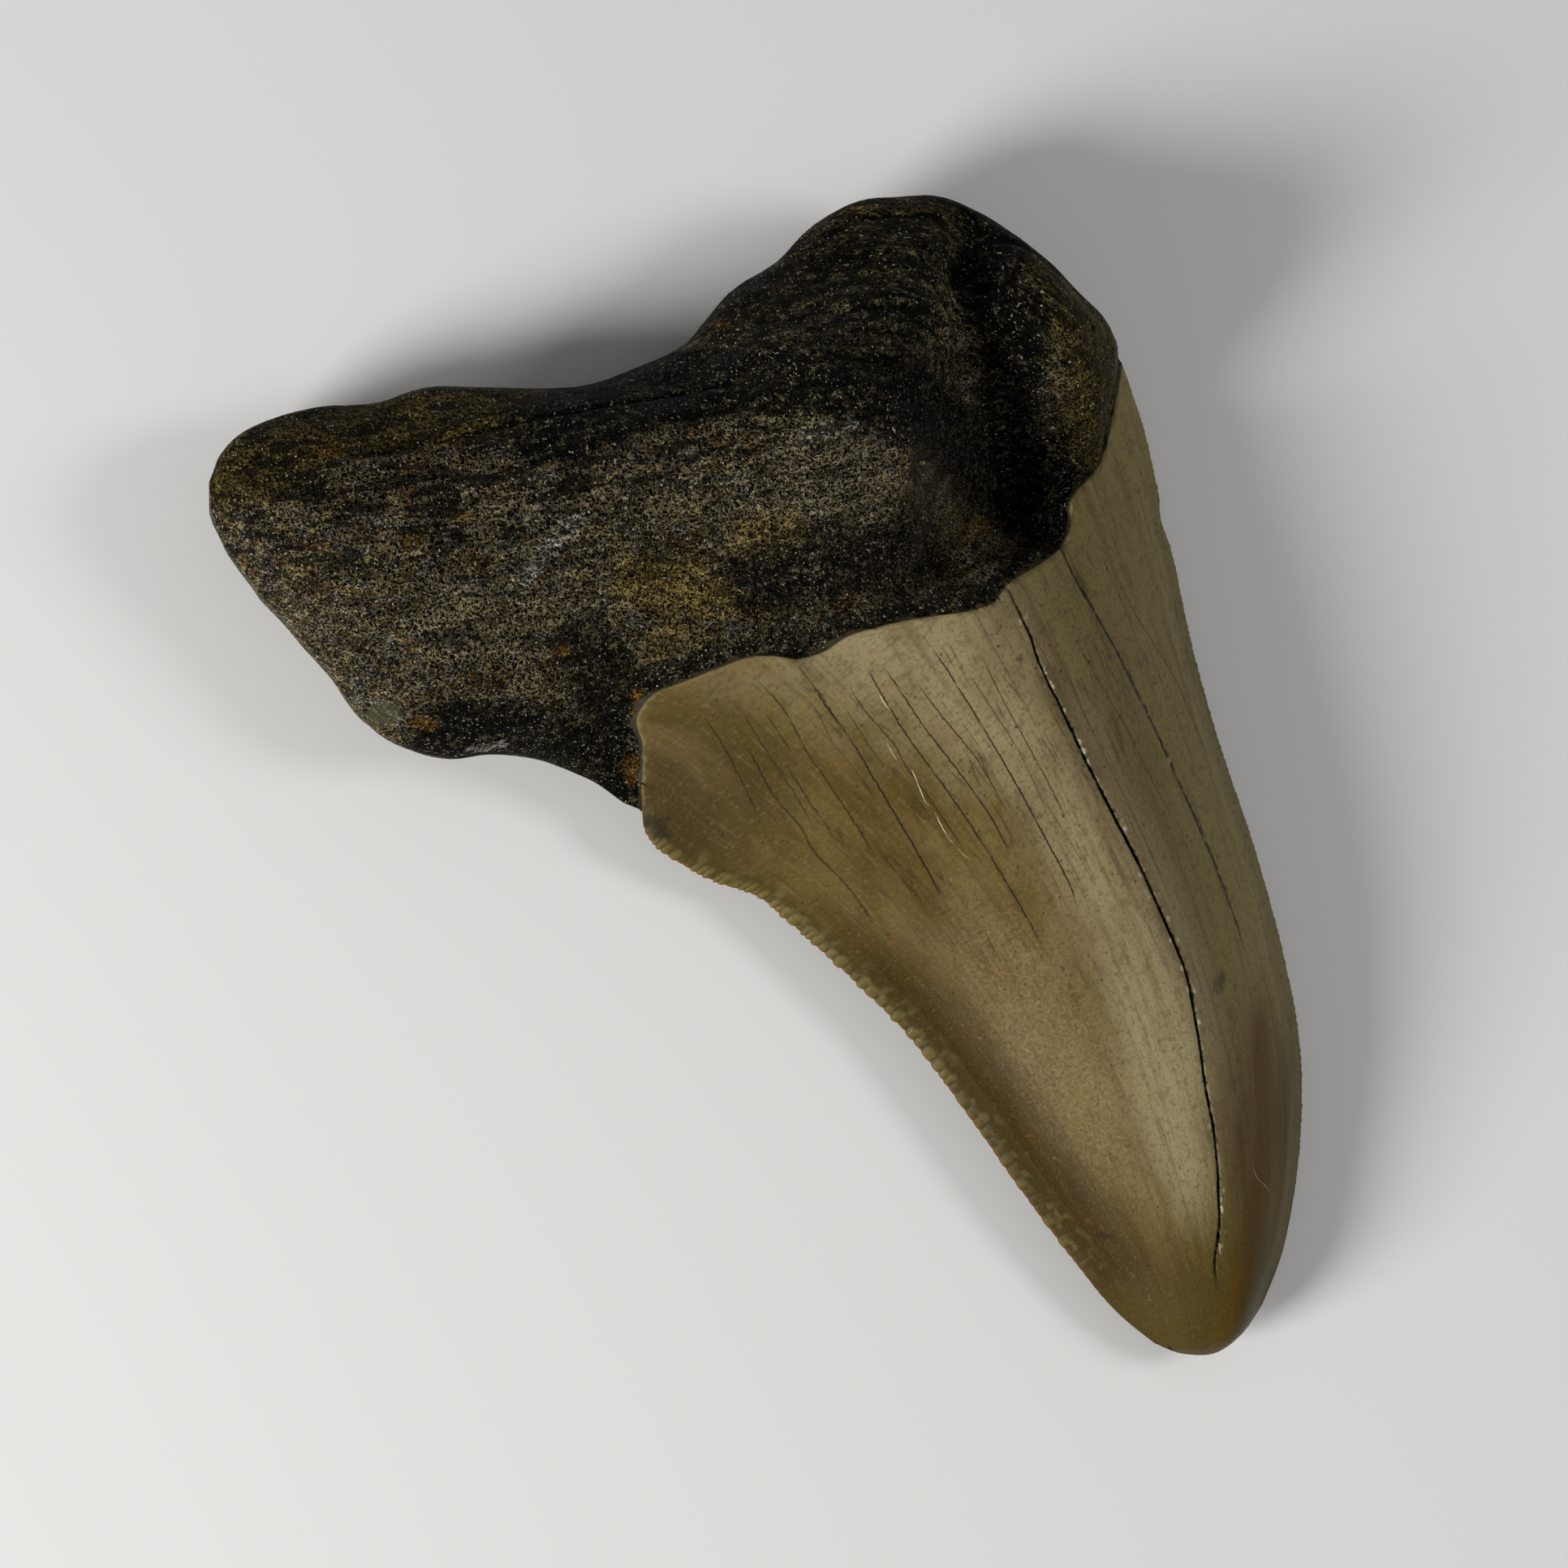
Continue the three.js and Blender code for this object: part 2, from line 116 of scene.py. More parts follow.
# The enamel's border on the two faces: across the tooth, and its share of the rows' parameter
borderKnots = {
    "lingual": [
        (0.0, 0.34), (0.02, 0.334), (0.058, 0.321), (0.088, 0.306), (0.115, 0.286), (0.155, 0.276),
        (0.188, 0.283), (0.225, 0.292), (0.255, 0.3), (0.272, 0.310), (0.290, 0.328), (0.322, 0.338),
        (0.360, 0.341), (0.430, 0.362), (0.492, 0.384), (0.548, 0.399), (0.595, 0.396), (0.660, 0.402),
        (0.715, 0.404), (0.753, 0.396), (0.772, 0.382), (0.805, 0.379), (0.870, 0.378), (0.918, 0.365),
        (0.948, 0.354), (1.0, 0.34),
    ],
    "labial": [(0.0, 0.34), (0.12, 0.30), (0.3, 0.262), (0.5, 0.25), (0.7, 0.262), (0.88, 0.30), (1.0, 0.34)],
}

# The two open cracks: along the crown from base to tip, and across it from left to right
crackKnots = {
    "main": [
        (-0.6, 0.6), (-0.1, 0.59), (0.121, 0.584), (0.18, 0.576), (0.265, 0.573), (0.35, 0.578),
        (0.43, 0.588), (0.517, 0.596), (0.578, 0.602), (0.642, 0.585), (0.708, 0.562), (0.771, 0.555),
        (0.818, 0.543), (0.873, 0.520), (0.92, 0.465), (1.0, 0.46),
    ],
    "second": [
        (-0.6, 0.74), (-0.1, 0.715), (0.119, 0.712), (0.174, 0.724), (0.247, 0.744), (0.309, 0.76),
        (0.375, 0.777), (0.443, 0.793), (0.508, 0.81), (0.555, 0.818), (0.605, 0.822), (0.8, 0.82),
        (1.0, 0.76),
    ],
}
openCracks = {
    "main": {
        "start": 0.05, "end": 0.95, "fade": 0.14,
        "halfWidth": 0.18, "depth": 0.42, "reach": 0.42, "wander": 0.0012,
    },
    "second": {
        "start": 0.04, "end": 0.615, "fade": 0.08,
        "halfWidth": 0.13, "depth": 0.25, "reach": 0.3, "wander": 0.001,
    },
}

# How the crown changes from its base, 0, to its tip, 1
crownFade = [(-0.6, 1.0), (0, 1), (0.2, 0.93), (0.4, 0.8), (0.6, 0.65), (0.8, 0.46), (0.93, 0.32), (1, 0.24)]
crownRidge = [(-0.6, 0.54), (0, 0.54), (0.3, 0.56), (0.6, 0.57), (1, 0.55)]

# The root's crest, from the long lobe's end over the boss to the short lobe
crestPlace = [
    (-60, 21.0), (-54, 19.5), (-47, 17.0), (-39.5, 14.5), (-32.4, 13.4), (-20.5, 12.1), (-8.2, 10.6),
    (0, 9.8), (8, 11.0), (18.6, 11.4), (28, 9.0),
]
crestRise = [
    (-60, 3.6), (-54, 4.6), (-47, 5.6), (-39.5, 6.8), (-32.4, 8.0), (-20.5, 9.8), (-11, 11.8),
    (-5.5, 12.6), (0, 12.0), (6, 9.8), (12, 8.6), (18.6, 8.4), (28, 7.0),
]

# Dents and swellings of the root's front: from, to, reach, height at each end
rootForms = [
    ((17.6, 23.5), (12.6, 16.4), 2.4, -2.6, -2.0),  # the valley from the notch in the short lobe
    ((12.6, 16.4), (8.0, 8.0), 3.2, -2.0, -2.2),
    ((8.0, 8.0), (10.4, 1.0), 4.4, -2.0, -3.2),
    ((11.0, -0.5), (12.6, -2.0), 4.6, -3.2, -3.2),  # the deep hollow by the enamel
    ((0.0, 24.0), (-14.0, 18.0), 4.0, 0.0, -1.6),
    ((18.5, 14.0), (18.4, 3.5), 4.6, 1.2, 1.6),  # the short lobe's swollen side
    ((-10.5, 8.5), (-3.0, 8.0), 4.5, 0.8, 1.2),  # the boss
    ((-38, 5), (-24, 3), 7.0, -1.1, -0.9),
    ((-50, 9), (-40, 0), 4.0, 0.0, 0.9),
    ((-45.4, 17.0), (-37.1, 13.4), 0.9, -0.5, -0.7),  # furrows of the long lobe
    ((-51.1, 17.1), (-42.8, 14.0), 0.8, -0.3, -0.5),
    ((-54.5, 12.1), (-47.6, 8.5), 0.8, -0.2, -0.4),
    ((-50.8, 4.2), (-50.2, 3.7), 1.3, -0.9, -0.9),  # the chip at its lower corner
    ((-40.0, 24.5), (-31.0, 21.5), 2.6, -0.5, -0.8),
]

# The serrations of the two cutting edges
serrations = {
    "pitch": [(0, 0.62), (0.22, 0.66), (0.45, 1.05), (0.75, 1.1), (1, 0.7)],  # worn wider in the middle
    "convexPitch": [(0, 0.62), (1, 0.66)],
    "notch": 0.24,  # how far the outline steps back between two of them
    "bead": 0.13,  # how far each stands up from the thin margin
    "reach": 1.35,  # how far in they run
}

# How finely the mesh is divided
division = {
    "rootRows": 100,
    "crownRows": 208,
    "fine": 3,  # rows of the serrated strips per row of the rest
    "strip": [0.0, 0.2, 0.45, 0.75, 1.1, 1.5],  # the strips' columns, from the edge
    "columns": [72, 8, 22, 6, 38],  # left of the main crack, in it, between the two, in the second, right
    "borderGap": 0.0022,  # the rows next to the border keep this far from it
    "ragged": [(0.004, 0.021, 21), (0.0026, 0.008, 22)],  # the border's wander: how far, how long, its seed
}


def catmullRom(knots, steps):
    p = np.array(knots, float)
    out = []
    w = np.linspace(0, 1, steps, endpoint=False)[:, None]
    for i in range(len(p) - 1):
        before, here, there, after = p[max(i - 1, 0)], p[i], p[i + 1], p[min(i + 2, len(p) - 1)]
        a, b = (there - before) / 2, (after - here) / 2
        cubic = (2 * here - 2 * there + a + b) * w**3 + (3 * there - 3 * here - 2 * a - b) * w**2
        out.append(cubic + a * w + here)
    out.append(p[-1:])
    return np.concatenate(out)


def curveThrough(knots):
    s = catmullRom(knots, 24)
    along = np.r_[0, np.cumsum(np.hypot(*np.diff(s, axis=0).T))]
    along /= along[-1]
    return lambda t: np.stack([np.interp(t, along, s[:, 0]), np.interp(t, along, s[:, 1])], -1)


def trackThrough(knots):
    s = catmullRom(knots, 12)
    return lambda t: np.interp(t, s[:, 0], s[:, 1])


def mix(a, b, t):
    return a + (b - a) * t


def clamp(t):
    return np.clip(t, 0, 1)


def smooth(t):
    t = clamp(t)
    return t * t * (3 - 2 * t)


def bell(distance, reach):
    return np.exp(-((distance / reach) ** 2))


def cellValue(cell, seed):
    h = (cell.astype(np.int64) & 0xFFFFF).astype(np.uint64)
    h = h[..., 0] * np.uint64(73856093) ^ h[..., 1] * np.uint64(19349663) ^ h[..., 2] * np.uint64(83492791)
    h = (h + np.uint64(seed * 7919 + 13)) * np.uint64(2654435761) & np.uint64(0xFFFFFFFF)
    h = (h ^ (h >> np.uint64(15))) * np.uint64(2246822519) & np.uint64(0xFFFFFFFF)
    return ((h >> np.uint64(8)) & np.uint64(0xFFFF)).astype(float) / 65535


def noise(points, scale, seed=0):
    q = np.asarray(points, float) / scale
    cell = np.floor(q)
    f = smooth(q - cell)
    total = 0
    for corner in np.ndindex(2, 2, 2):
        weight = np.prod(np.where(np.array(corner) == 1, f, 1 - f), axis=-1)
        total = total + weight * cellValue(cell + np.array(corner), seed)
    return total * 2 - 1


def lineNoise(t, scale, seed=0):
    t = np.asarray(t, float)
    return noise(np.stack([t, np.zeros_like(t), np.zeros_like(t)], -1), scale, seed)


def distanceTo(points, line):
    tree = KDTree(len(line))
    for i, p in enumerate(line):
        tree.insert((p[0], p[1], 0), i)
    tree.balance()
    flat = points.reshape(-1, 2)
    return np.array([tree.find((x, y, 0))[2] for x, y in flat]).reshape(points.shape[:-1])


def segmentDistance(p, a, b):
    a, b = np.array(a, float), np.array(b, float)
    t = clamp(((p - a) @ (b - a)) / ((b - a) @ (b - a)))
    away = p - a - t[..., None] * (b - a)
    return np.hypot(away[..., 0], away[..., 1]), t


# The surface
base = form["baseShare"]
stretch = {name: curveThrough(knots) for name, knots in outline.items()}
leftSide, rightSide = ("leftRoot", "leftCrown"), ("rightRoot", "rightCrown")
border = {name: trackThrough(knots) for name, knots in borderKnots.items()}
crackTrack = {name: trackThrough(knots) for name, knots in crackKnots.items()}
fadeAt, ridgeAt = trackThrough(crownFade), trackThrough(crownRidge)
crestY, crestZ = trackThrough(crestPlace), trackThrough(crestRise)


def crownShare(u):
    return (u - base) / (1 - base)


def sideAt(parts, u):
    root = stretch[parts[0]](clamp(u / base))
    crown = stretch[parts[1]](clamp(crownShare(u)))
    return np.where((u < base)[..., None], root, crown)


def smoothedSide(parts, u):
    reach = np.minimum(form["sideSmoothing"], np.minimum(u, 1 - u))
    return sum(sideAt(parts, u + k * reach) for k in np.linspace(-1, 1, 9)) / 9


def place(u, v):
    u, v = np.broadcast_arrays(np.asarray(u, float), np.asarray(v, float))
    w = v[..., None]
    left, right = sideAt(leftSide, u), sideAt(rightSide, u)
    leftIn, rightIn = smoothedSide(leftSide, u), smoothedSide(rightSide, u)
    nearLeft, nearRight = (np.maximum(0, 1 - s / form["sideReach"])[..., None] ** 2 for s in (v, 1 - v))
    p = mix(leftIn, rightIn, w) + (left - leftIn) * nearLeft + (right - rightIn) * nearRight
    for name, away, rows in (("basalMargin", u, form["marginPull"]), ("tip", 1 - u, form["tipPull"])):
        start, end = stretch[name](0.0), stretch[name](1.0)
        pull = clamp(1 - away / rows) ** 2
        p = p + (stretch[name](clamp(v)) - mix(start, end, w)) * pull[..., None]
    return p


def widthAt(u):
    span = sideAt(rightSide, u) - sideAt(leftSide, u)
    return np.hypot(span[..., 0], span[..., 1])


def rimHeight(u, v):
    t = crownShare(u)
    root = mix(form["rootRimLeft"], form["rootRimRight"], smooth(v))
    edge = form["edgeHeight"] + form["edgeBow"] * np.sin(np.pi * clamp(t))
    edge = edge - form["tipDrop"] * smooth((t - 0.7) / 0.3)
    return mix(root, edge, smooth((u - base + form["rimFallFrom"]) / form["rimFallOver"]))


def roundRim(d, radius):
    return np.sqrt(np.maximum(0, 1 - (1 - clamp(d / radius)) ** 2))


def crownFront(u, v, d):
    t = crownShare(u)
    ridge = ridgeAt(t)
    w = np.where(v < ridge, (ridge - v) / ridge, (v - ridge) / (1 - ridge))
    broad, lean = form["crownLens"]
    lens = np.maximum(0, 1 - w**broad) ** lean
    flange = np.where(v < ridge, form["flangeLeft"], form["flangeRight"])
    flange = flange * mix(1, form["flangeAtTip"], smooth((t - 0.6) / 0.4))
    thin = mix(smooth(d / flange), 1, form["flangeThickness"]) * clamp(d / 0.7) ** 0.5
    rounded = mix(thin, roundRim(d, form["tipRounding"]), smooth((t - 0.86) / 0.12))
    return form["crownRise"] * fadeAt(t) * lens * rounded + form["edgeLip"] * clamp(d / 0.8)


def rootFront(p, v, d):
    x, y = p[..., 0], p[..., 1]
    s = y - crestY(x)
    upper = mix(*form["crestUpper"], smooth((x + 20) / 30))
    lower = mix(*form["crestLower"], smooth((x + 30) / 30))
    power, steepness = form["crestFall"]
    fall = (np.abs(s) / np.where(s > 0, upper, lower)) ** power
    radius = form["rootRounding"] * mix(0.85, 1.0, smooth(v))
    return roundRim(d, radius) * crestZ(x) * np.exp(-steepness * fall)


def rootRelief(p):
    total = 0
    for start, end, reach, first, last in rootForms:
        distance, t = segmentDistance(p, start, end)
        total = total + mix(first, last, t) * bell(distance, reach)
    return total


def frontHeight(u, v, p, d, into):
    neck = mix(form["neckLeft"], form["neckRight"], smooth((v - 0.45) / 0.3))
    crown = crownFront(np.maximum(u, base - 0.08), v, d)
    step = np.where(into < 0, form["enamelStep"], 0) * clamp(d / 2)
    relief = rootRelief(p) * clamp(d / 2.5) * clamp(into / 1.2)
    return rimHeight(u, v) + mix(crown, rootFront(p, v, d), smooth(into / neck)) + step + relief


def backHeight(u, v, p, d, into):
    rim = rimHeight(u, v)
    t = crownShare(u)
    inRoot = smooth((base + 0.02 - u) / 0.1)
    lowest, middleRise, sideRise = backForm["crown"]
    crownLevel = lowest + middleRise * np.sin(np.pi * clamp(t)) + sideRise * (2 * v - 1) ** 2
    rootLowest, hollowRise = backForm["root"]
    hollowMiddle, hollowReach = backForm["hollow"]
    rootLevel = rootLowest + hollowRise * bell(p[..., 0] - hollowMiddle, hollowReach)
    level = mix(crownLevel, rootLevel, inRoot) + np.where(into > 0, backForm["rootStep"], 0)
    for (x, y), reach in restSpots:
        level = level - backForm["restDrop"] * bell(np.hypot(p[..., 0] - x, p[..., 1] - y), reach)
    crownRound = 1 - (1 - clamp(d / backForm["crownRounding"])) ** 2
    full = mix(crownRound, roundRim(d, backForm["rootRounding"]), inRoot)
    return np.maximum(0, rim - full * (rim - level))


def beadProfile(edge, t):
    names = leftSide if edge == 0 else rightSide
    s = catmullRom(outline[names[1]], 24)
    length = np.hypot(*np.diff(s, axis=0).T).sum()
    knots = np.array(serrations["pitch" if edge == 0 else "convexPitch"])
    grid = np.linspace(0, 1, 400)
    counted = np.cumsum(length / 400 / np.interp(grid, *knots.T))
    phase = np.interp(t, grid, counted)
    phase = phase + 0.45 * lineNoise(phase, 2.3, 5 + edge)
    which = np.floor(phase)
    cell = np.stack([which, which * 0 + edge, which * 0], -1)
    size = 0.35 + 0.95 * cellValue(cell, 3)
    return np.abs(np.sin(np.pi * (phase - which))) ** 0.6 * size


def serrate(p, z, u, v, d, face):
    t = crownShare(u)
    present = smooth((t - 0.012) / 0.02) * smooth((0.94 - t) / 0.1)
    bead = np.zeros_like(d)
    for edge, near in ((0, v < 0.3), (1, v > 0.7)):
        profile = beadProfile(edge, t)
        worn = mix(1, 0.5, smooth((t - 0.45) / 0.15)) if edge == 0 else 0.4
        strength = present * near * worn
        insideEdge = np.where(near, 0.02 if edge == 0 else 0.98, v)
        inwards = place(u, insideEdge) - place(u, np.full_like(u, float(edge)))
        inwards = inwards / np.maximum(1e-6, np.hypot(inwards[..., 0], inwards[..., 1]))[..., None]
        back = serrations["notch"] * (1 - profile) * strength * clamp(1 - d / 0.9)
        p = p + inwards * back[..., None]
        rise = serrations["bead"] * (profile - 0.45) * strength * smooth(1.2 - d / serrations["reach"])
        rise = rise * clamp(d / 0.15)
        z = z + np.where(face == 0, rise, -0.4 * rise)
        bead = bead + profile * strength * smooth(1.2 - d / serrations["reach"])
    return p, z, bead


def eased(n):
    s = np.linspace(0, 1, n + 1)
    return s - 0.7 * np.sin(2 * np.pi * s) / (2 * np.pi)


def columnPlaces(u, rowsAt):
    width = widthAt(u)
    strip = np.array(division["strip"])
    at, half = {}, {}
    for name, crack in openCracks.items():
        t = crownShare(rowsAt(border["lingual"](crackTrack[name](0.1))))
        wander = lineNoise(t, 0.03, 11) + 0.6 * lineNoise(t, 0.011, 12)
        at[name] = crackTrack[name](t) + crack["wander"] * wander
        half[name] = crack["reach"] / width
    stripEnd = strip[-1] / width
    stops = [
        stripEnd, at["main"] - half["main"], at["main"] + half["main"],
        at["second"] - half["second"], at["second"] + half["second"], 1 - stripEnd,
    ]
    rows = [s / width for s in strip[:-1]]
    for k, n in enumerate(division["columns"]):
        spacing = eased(n) if k % 2 == 0 else np.linspace(0, 1, n + 1)
        rows += [mix(stops[k], stops[k + 1], s) for s in spacing[:-1]]
    rows += [1 - s / width for s in strip[::-1]]
    return np.stack(rows, -1), at


def buildTooth():
    nRoot, nCrown, fine, gap = (division[k] for k in ("rootRows", "crownRows", "fine", "borderGap"))
    nRows = nRoot + nCrown + 1
    stripCount = len(division["strip"]) - 1

    def rowShare(row, edge):
        rootPart = (edge - gap) * eased(nRoot)[np.minimum(row, nRoot).astype(int)]
        crownPart = mix(edge + gap, 1, clamp((row - nRoot - 1) / nCrown))
        return np.where(row <= nRoot, rootPart, crownPart)

    def ragged(v):
        return sum(far * lineNoise(v, long, seed) for far, long, seed in division["ragged"])

    coarseRows = np.arange(nRows + 1, dtype=float)
    middle = rowShare(coarseRows, 0.34)
    columns, crackAt = columnPlaces(middle, lambda edge: rowShare(coarseRows, edge))
    nColumns = columns.shape[1] - 1

    def gridUv(rows, cols, face):
        v = np.stack([np.interp(rows, coarseRows, columns[:, c]) for c in cols], -1)
        edge = border["lingual" if face == 0 else "labial"](v)
        edge = edge + ragged(v) * smooth(v / 0.05) * smooth((1 - v) / 0.05)
        u = rowShare(rows[:, None] + 0 * v, edge)
        return u, v

    us, vs, faces, rowsOf, ids = [], [], [], [], {}
    count = 0

    def addGrid(name, rows, cols, face):
        nonlocal count
        u, v = gridUv(rows, cols, face)
        us.append(u.ravel())
        vs.append(v.ravel())
        faces.append(np.full(u.size, face))
        rowsOf.append((rows[:, None] + 0 * v).ravel())
        ids[name] = count + np.arange(u.size).reshape(u.shape)
        count += u.size

    allCols = np.arange(nColumns + 1)
    inner = np.arange(stripCount, nColumns - stripCount + 1)
    backCols = np.r_[allCols[:stripCount], inner[::2], allCols[-stripCount:]]
    fineRows = np.arange(nRoot + 1, nRows + 1e-9, 1 / fine)
    addGrid("front", coarseRows, allCols, 0)
    addGrid("back", coarseRows, backCols, 1)
    leftCols, rightCols = allCols[: stripCount + 1], allCols[-stripCount - 1 :]
    for name, cols, face in (
        ("frontLeft", leftCols, 0), ("frontRight", rightCols, 0),
        ("backLeft", leftCols, 1), ("backRight", rightCols, 1),
    ):
        addGrid(name, fineRows, cols, face)
    u, v, face = np.concatenate(us), np.concatenate(vs), np.concatenate(faces)

    # vertices that two grids share keep one number
    share = np.arange(count)
    front, back = ids["front"], ids["back"]
    share[back[0]] = front[0, backCols]
    share[back[-1]] = front[-1, backCols]
    share[back[:, 0]] = front[:, 0]
    share[back[:, -1]] = front[:, -1]
    for name, cols, whole, wholeCols in (
        ("frontLeft", leftCols, front, allCols), ("frontRight", rightCols, front, allCols),
        ("backLeft", leftCols, back, backCols), ("backRight", rightCols, back, backCols),
    ):
        at = np.searchsorted(wholeCols, cols)
        share[ids[name][::fine]] = share[whole[nRoot + 1 :][:, at]]
    share[ids["backLeft"][:, 0]] = share[ids["frontLeft"][:, 0]]
    share[ids["backRight"][:, -1]] = share[ids["frontRight"][:, -1]]

    polygons = []

    def addFace(corners, facing):
        corners = [share[c] for c in corners]
        polygons.append(corners if facing == 0 else corners[::-1])

    def addQuads(grid, facing):
        for r in range(grid.shape[0] - 1):
            for c in range(grid.shape[1] - 1):
                addFace([grid[r, c], grid[r + 1, c], grid[r + 1, c + 1], grid[r, c + 1]], facing)

    for facing, whole, wholeCols, leftName, rightName in (
        (0, front, allCols, "frontLeft", "frontRight"), (1, back, backCols, "backLeft", "backRight"),
    ):
        addQuads(whole[1 : nRoot + 2], facing)
        topRow = front[0]
        for c in range(whole.shape[1] - 1):
            chain = [topRow[k] for k in range(wholeCols[c + 1], wholeCols[c] - 1, -1)]
            addFace(chain + [whole[1, c], whole[1, c + 1]], facing)
        addQuads(ids[leftName], facing)
        addQuads(ids[rightName], facing)
        last = whole.shape[1] - 1
        for r in range(nRoot + 1, nRows):
            for c in range(stripCount, last - stripCount):
                f = (r - nRoot - 1) * fine
                leftChain = [whole[r, c], whole[r + 1, c]]
                rightChain = [whole[r + 1, c + 1], whole[r, c + 1]]
                if c == stripCount:
                    leftChain = [ids[leftName][f + k, -1] for k in range(fine + 1)]
                if c == last - stripCount - 1:
                    rightChain = [ids[rightName][f + k, 0] for k in range(fine, -1, -1)]
                bottom = []
                if r == nRows - 1 and wholeCols[c + 1] - wholeCols[c] > 1:
                    bottom = [front[-1, k] for k in range(wholeCols[c] + 1, wholeCols[c + 1])]
                addFace(leftChain + bottom + rightChain, facing)

    used, compact = np.unique(share[np.arange(count)], return_inverse=True)
    polygons = [[int(compact[i]) for i in polygon] for polygon in polygons]
    rowOf = np.concatenate(rowsOf)[used]
    toCrack = {}
    for name in openCracks:
        at = np.interp(rowOf, coarseRows, crackAt[name])
        toCrack[name] = (v[used] - at) * np.interp(rowOf, coarseRows, widthAt(middle))
    return u[used], v[used], face[used], polygons, toCrack


print("tooth: dividing the surface")
u, v, face, polygons, toCrack = buildTooth()
p = place(u, v)
t = np.linspace(0, 1, 900)
edgeLine = np.concatenate([stretch[name](t) for name in outline])
d = distanceTo(p, edgeLine)
into = np.zeros_like(u)
for which, name in enumerate(("lingual", "labial")):
    across = np.linspace(0, 1, 1200)
    line = place(border[name](across), across)
    mine = face == which
    away = distanceTo(p[mine], line)
    into[mine] = np.where(u[mine] < border[name](v[mine]), away, -away)
print("tooth: heights")
z = np.where(face == 0, frontHeight(u, v, p, d, into), backHeight(u, v, p, d, into))
rim = d < 1e-4
z = np.where(rim, rimHeight(u, v), z)
p, z, bead = serrate(p, z, u, v, d, face)
points = np.c_[p, z]

# Fine relief, pushed in or out along the surface's own direction
relief = {
    "rootLumps": (5.2, 0.34),  # the size and height of each kind
    "rootRipples": (2.0, 0.30),
    "rootGrain": (0.85, 0.20),
    "rootFurrows": (2.6, 0.42),
    "enamelWaves": (7.0, 0.06),
}


def makeMesh(name, points, polygons):
    data = bpy.data.meshes.new(name)
    data.from_pydata(points, [], polygons)
    data.polygons.foreach_set("use_smooth", np.ones(len(data.polygons), bool))
    data.update()
    return data


def directionsOf(points, polygons):
    data = makeMesh("directions", points, polygons)
    out = np.zeros(len(points) * 3)
    data.vertex_normals.foreach_get("vector", out)
    bpy.data.meshes.remove(data)
    return out.reshape(-1, 3)


# The root's fibres run straight from one place to the other, and fan out round the second
fibres = {"start": (-46.0, 16.0), "turn": (-2.0, 4.0), "fanReach": 12, "lean": 0.25}


def fibrePlace(p, z):
    start, turn = np.array(fibres["start"]), np.array(fibres["turn"])
    length = np.hypot(*(turn - start))
    axis = (turn - start) / length
    along = (p - start) @ axis
    across = (p - start) @ np.array([-axis[1], axis[0]])
    beyond = np.maximum(0, along - length)
    fan = np.arctan2(beyond, np.abs(across) + 1e-6) * fibres["fanReach"]
    away = np.hypot(beyond, across)
    return np.stack([np.minimum(along, length) + fan, away, z + fibres["lean"] * p[:, 1]], -1)


def crackDepth(name, t):
    crack = openCracks[name]
    inside = smooth((t - crack["start"]) / crack["fade"]) * smooth((crack["end"] - t) / 0.08)
    profile = clamp(1 - np.abs(toCrack[name]) / crack["halfWidth"])
    return crack["depth"] * inside * profile * (0.8 + 0.35 * lineNoise(t, 0.02, 31))


onFront = face == 0
fibre = fibrePlace(p, z)
t = crownShare(u)
inRoot = smooth(into / 0.5)
stretched = fibre * np.array([0.3, 1.0, 1.0])
push = np.zeros_like(u)
spaces = {"rootLumps": points, "rootRipples": stretched, "rootGrain": stretched}
for seed, (name, space) in enumerate(spaces.items()):
    size, height = relief[name]
    push += height * noise(space, size, 41 + seed) * inRoot * mix(0.35, 1, clamp(d / 7))
size, height = relief["rootFurrows"]
crease = clamp(1 - np.abs(noise(fibre * np.array([0.16, 1.0, 1.0]), size, 47)) / 0.22)
upward = smooth((p[:, 1] - crestY(p[:, 0]) + 7) / 9) * onFront
push -= height * crease * inRoot * mix(0.25, 1, upward) * clamp(d / 2)
size, height = relief["enamelWaves"]
push += height * noise(points * np.array([1, 0.35, 1]), size, 45) * (1 - inRoot) * clamp(d / 3)
push -= (crackDepth("main", t) + crackDepth("second", t)) * (face == 0)
push *= np.where(z > 0.02, clamp((z - 0.02) / 0.6 + 0.15), 0)
points = points + directionsOf(points, polygons) * push[:, None]
points[:, 2] = np.maximum(points[:, 2], 0)

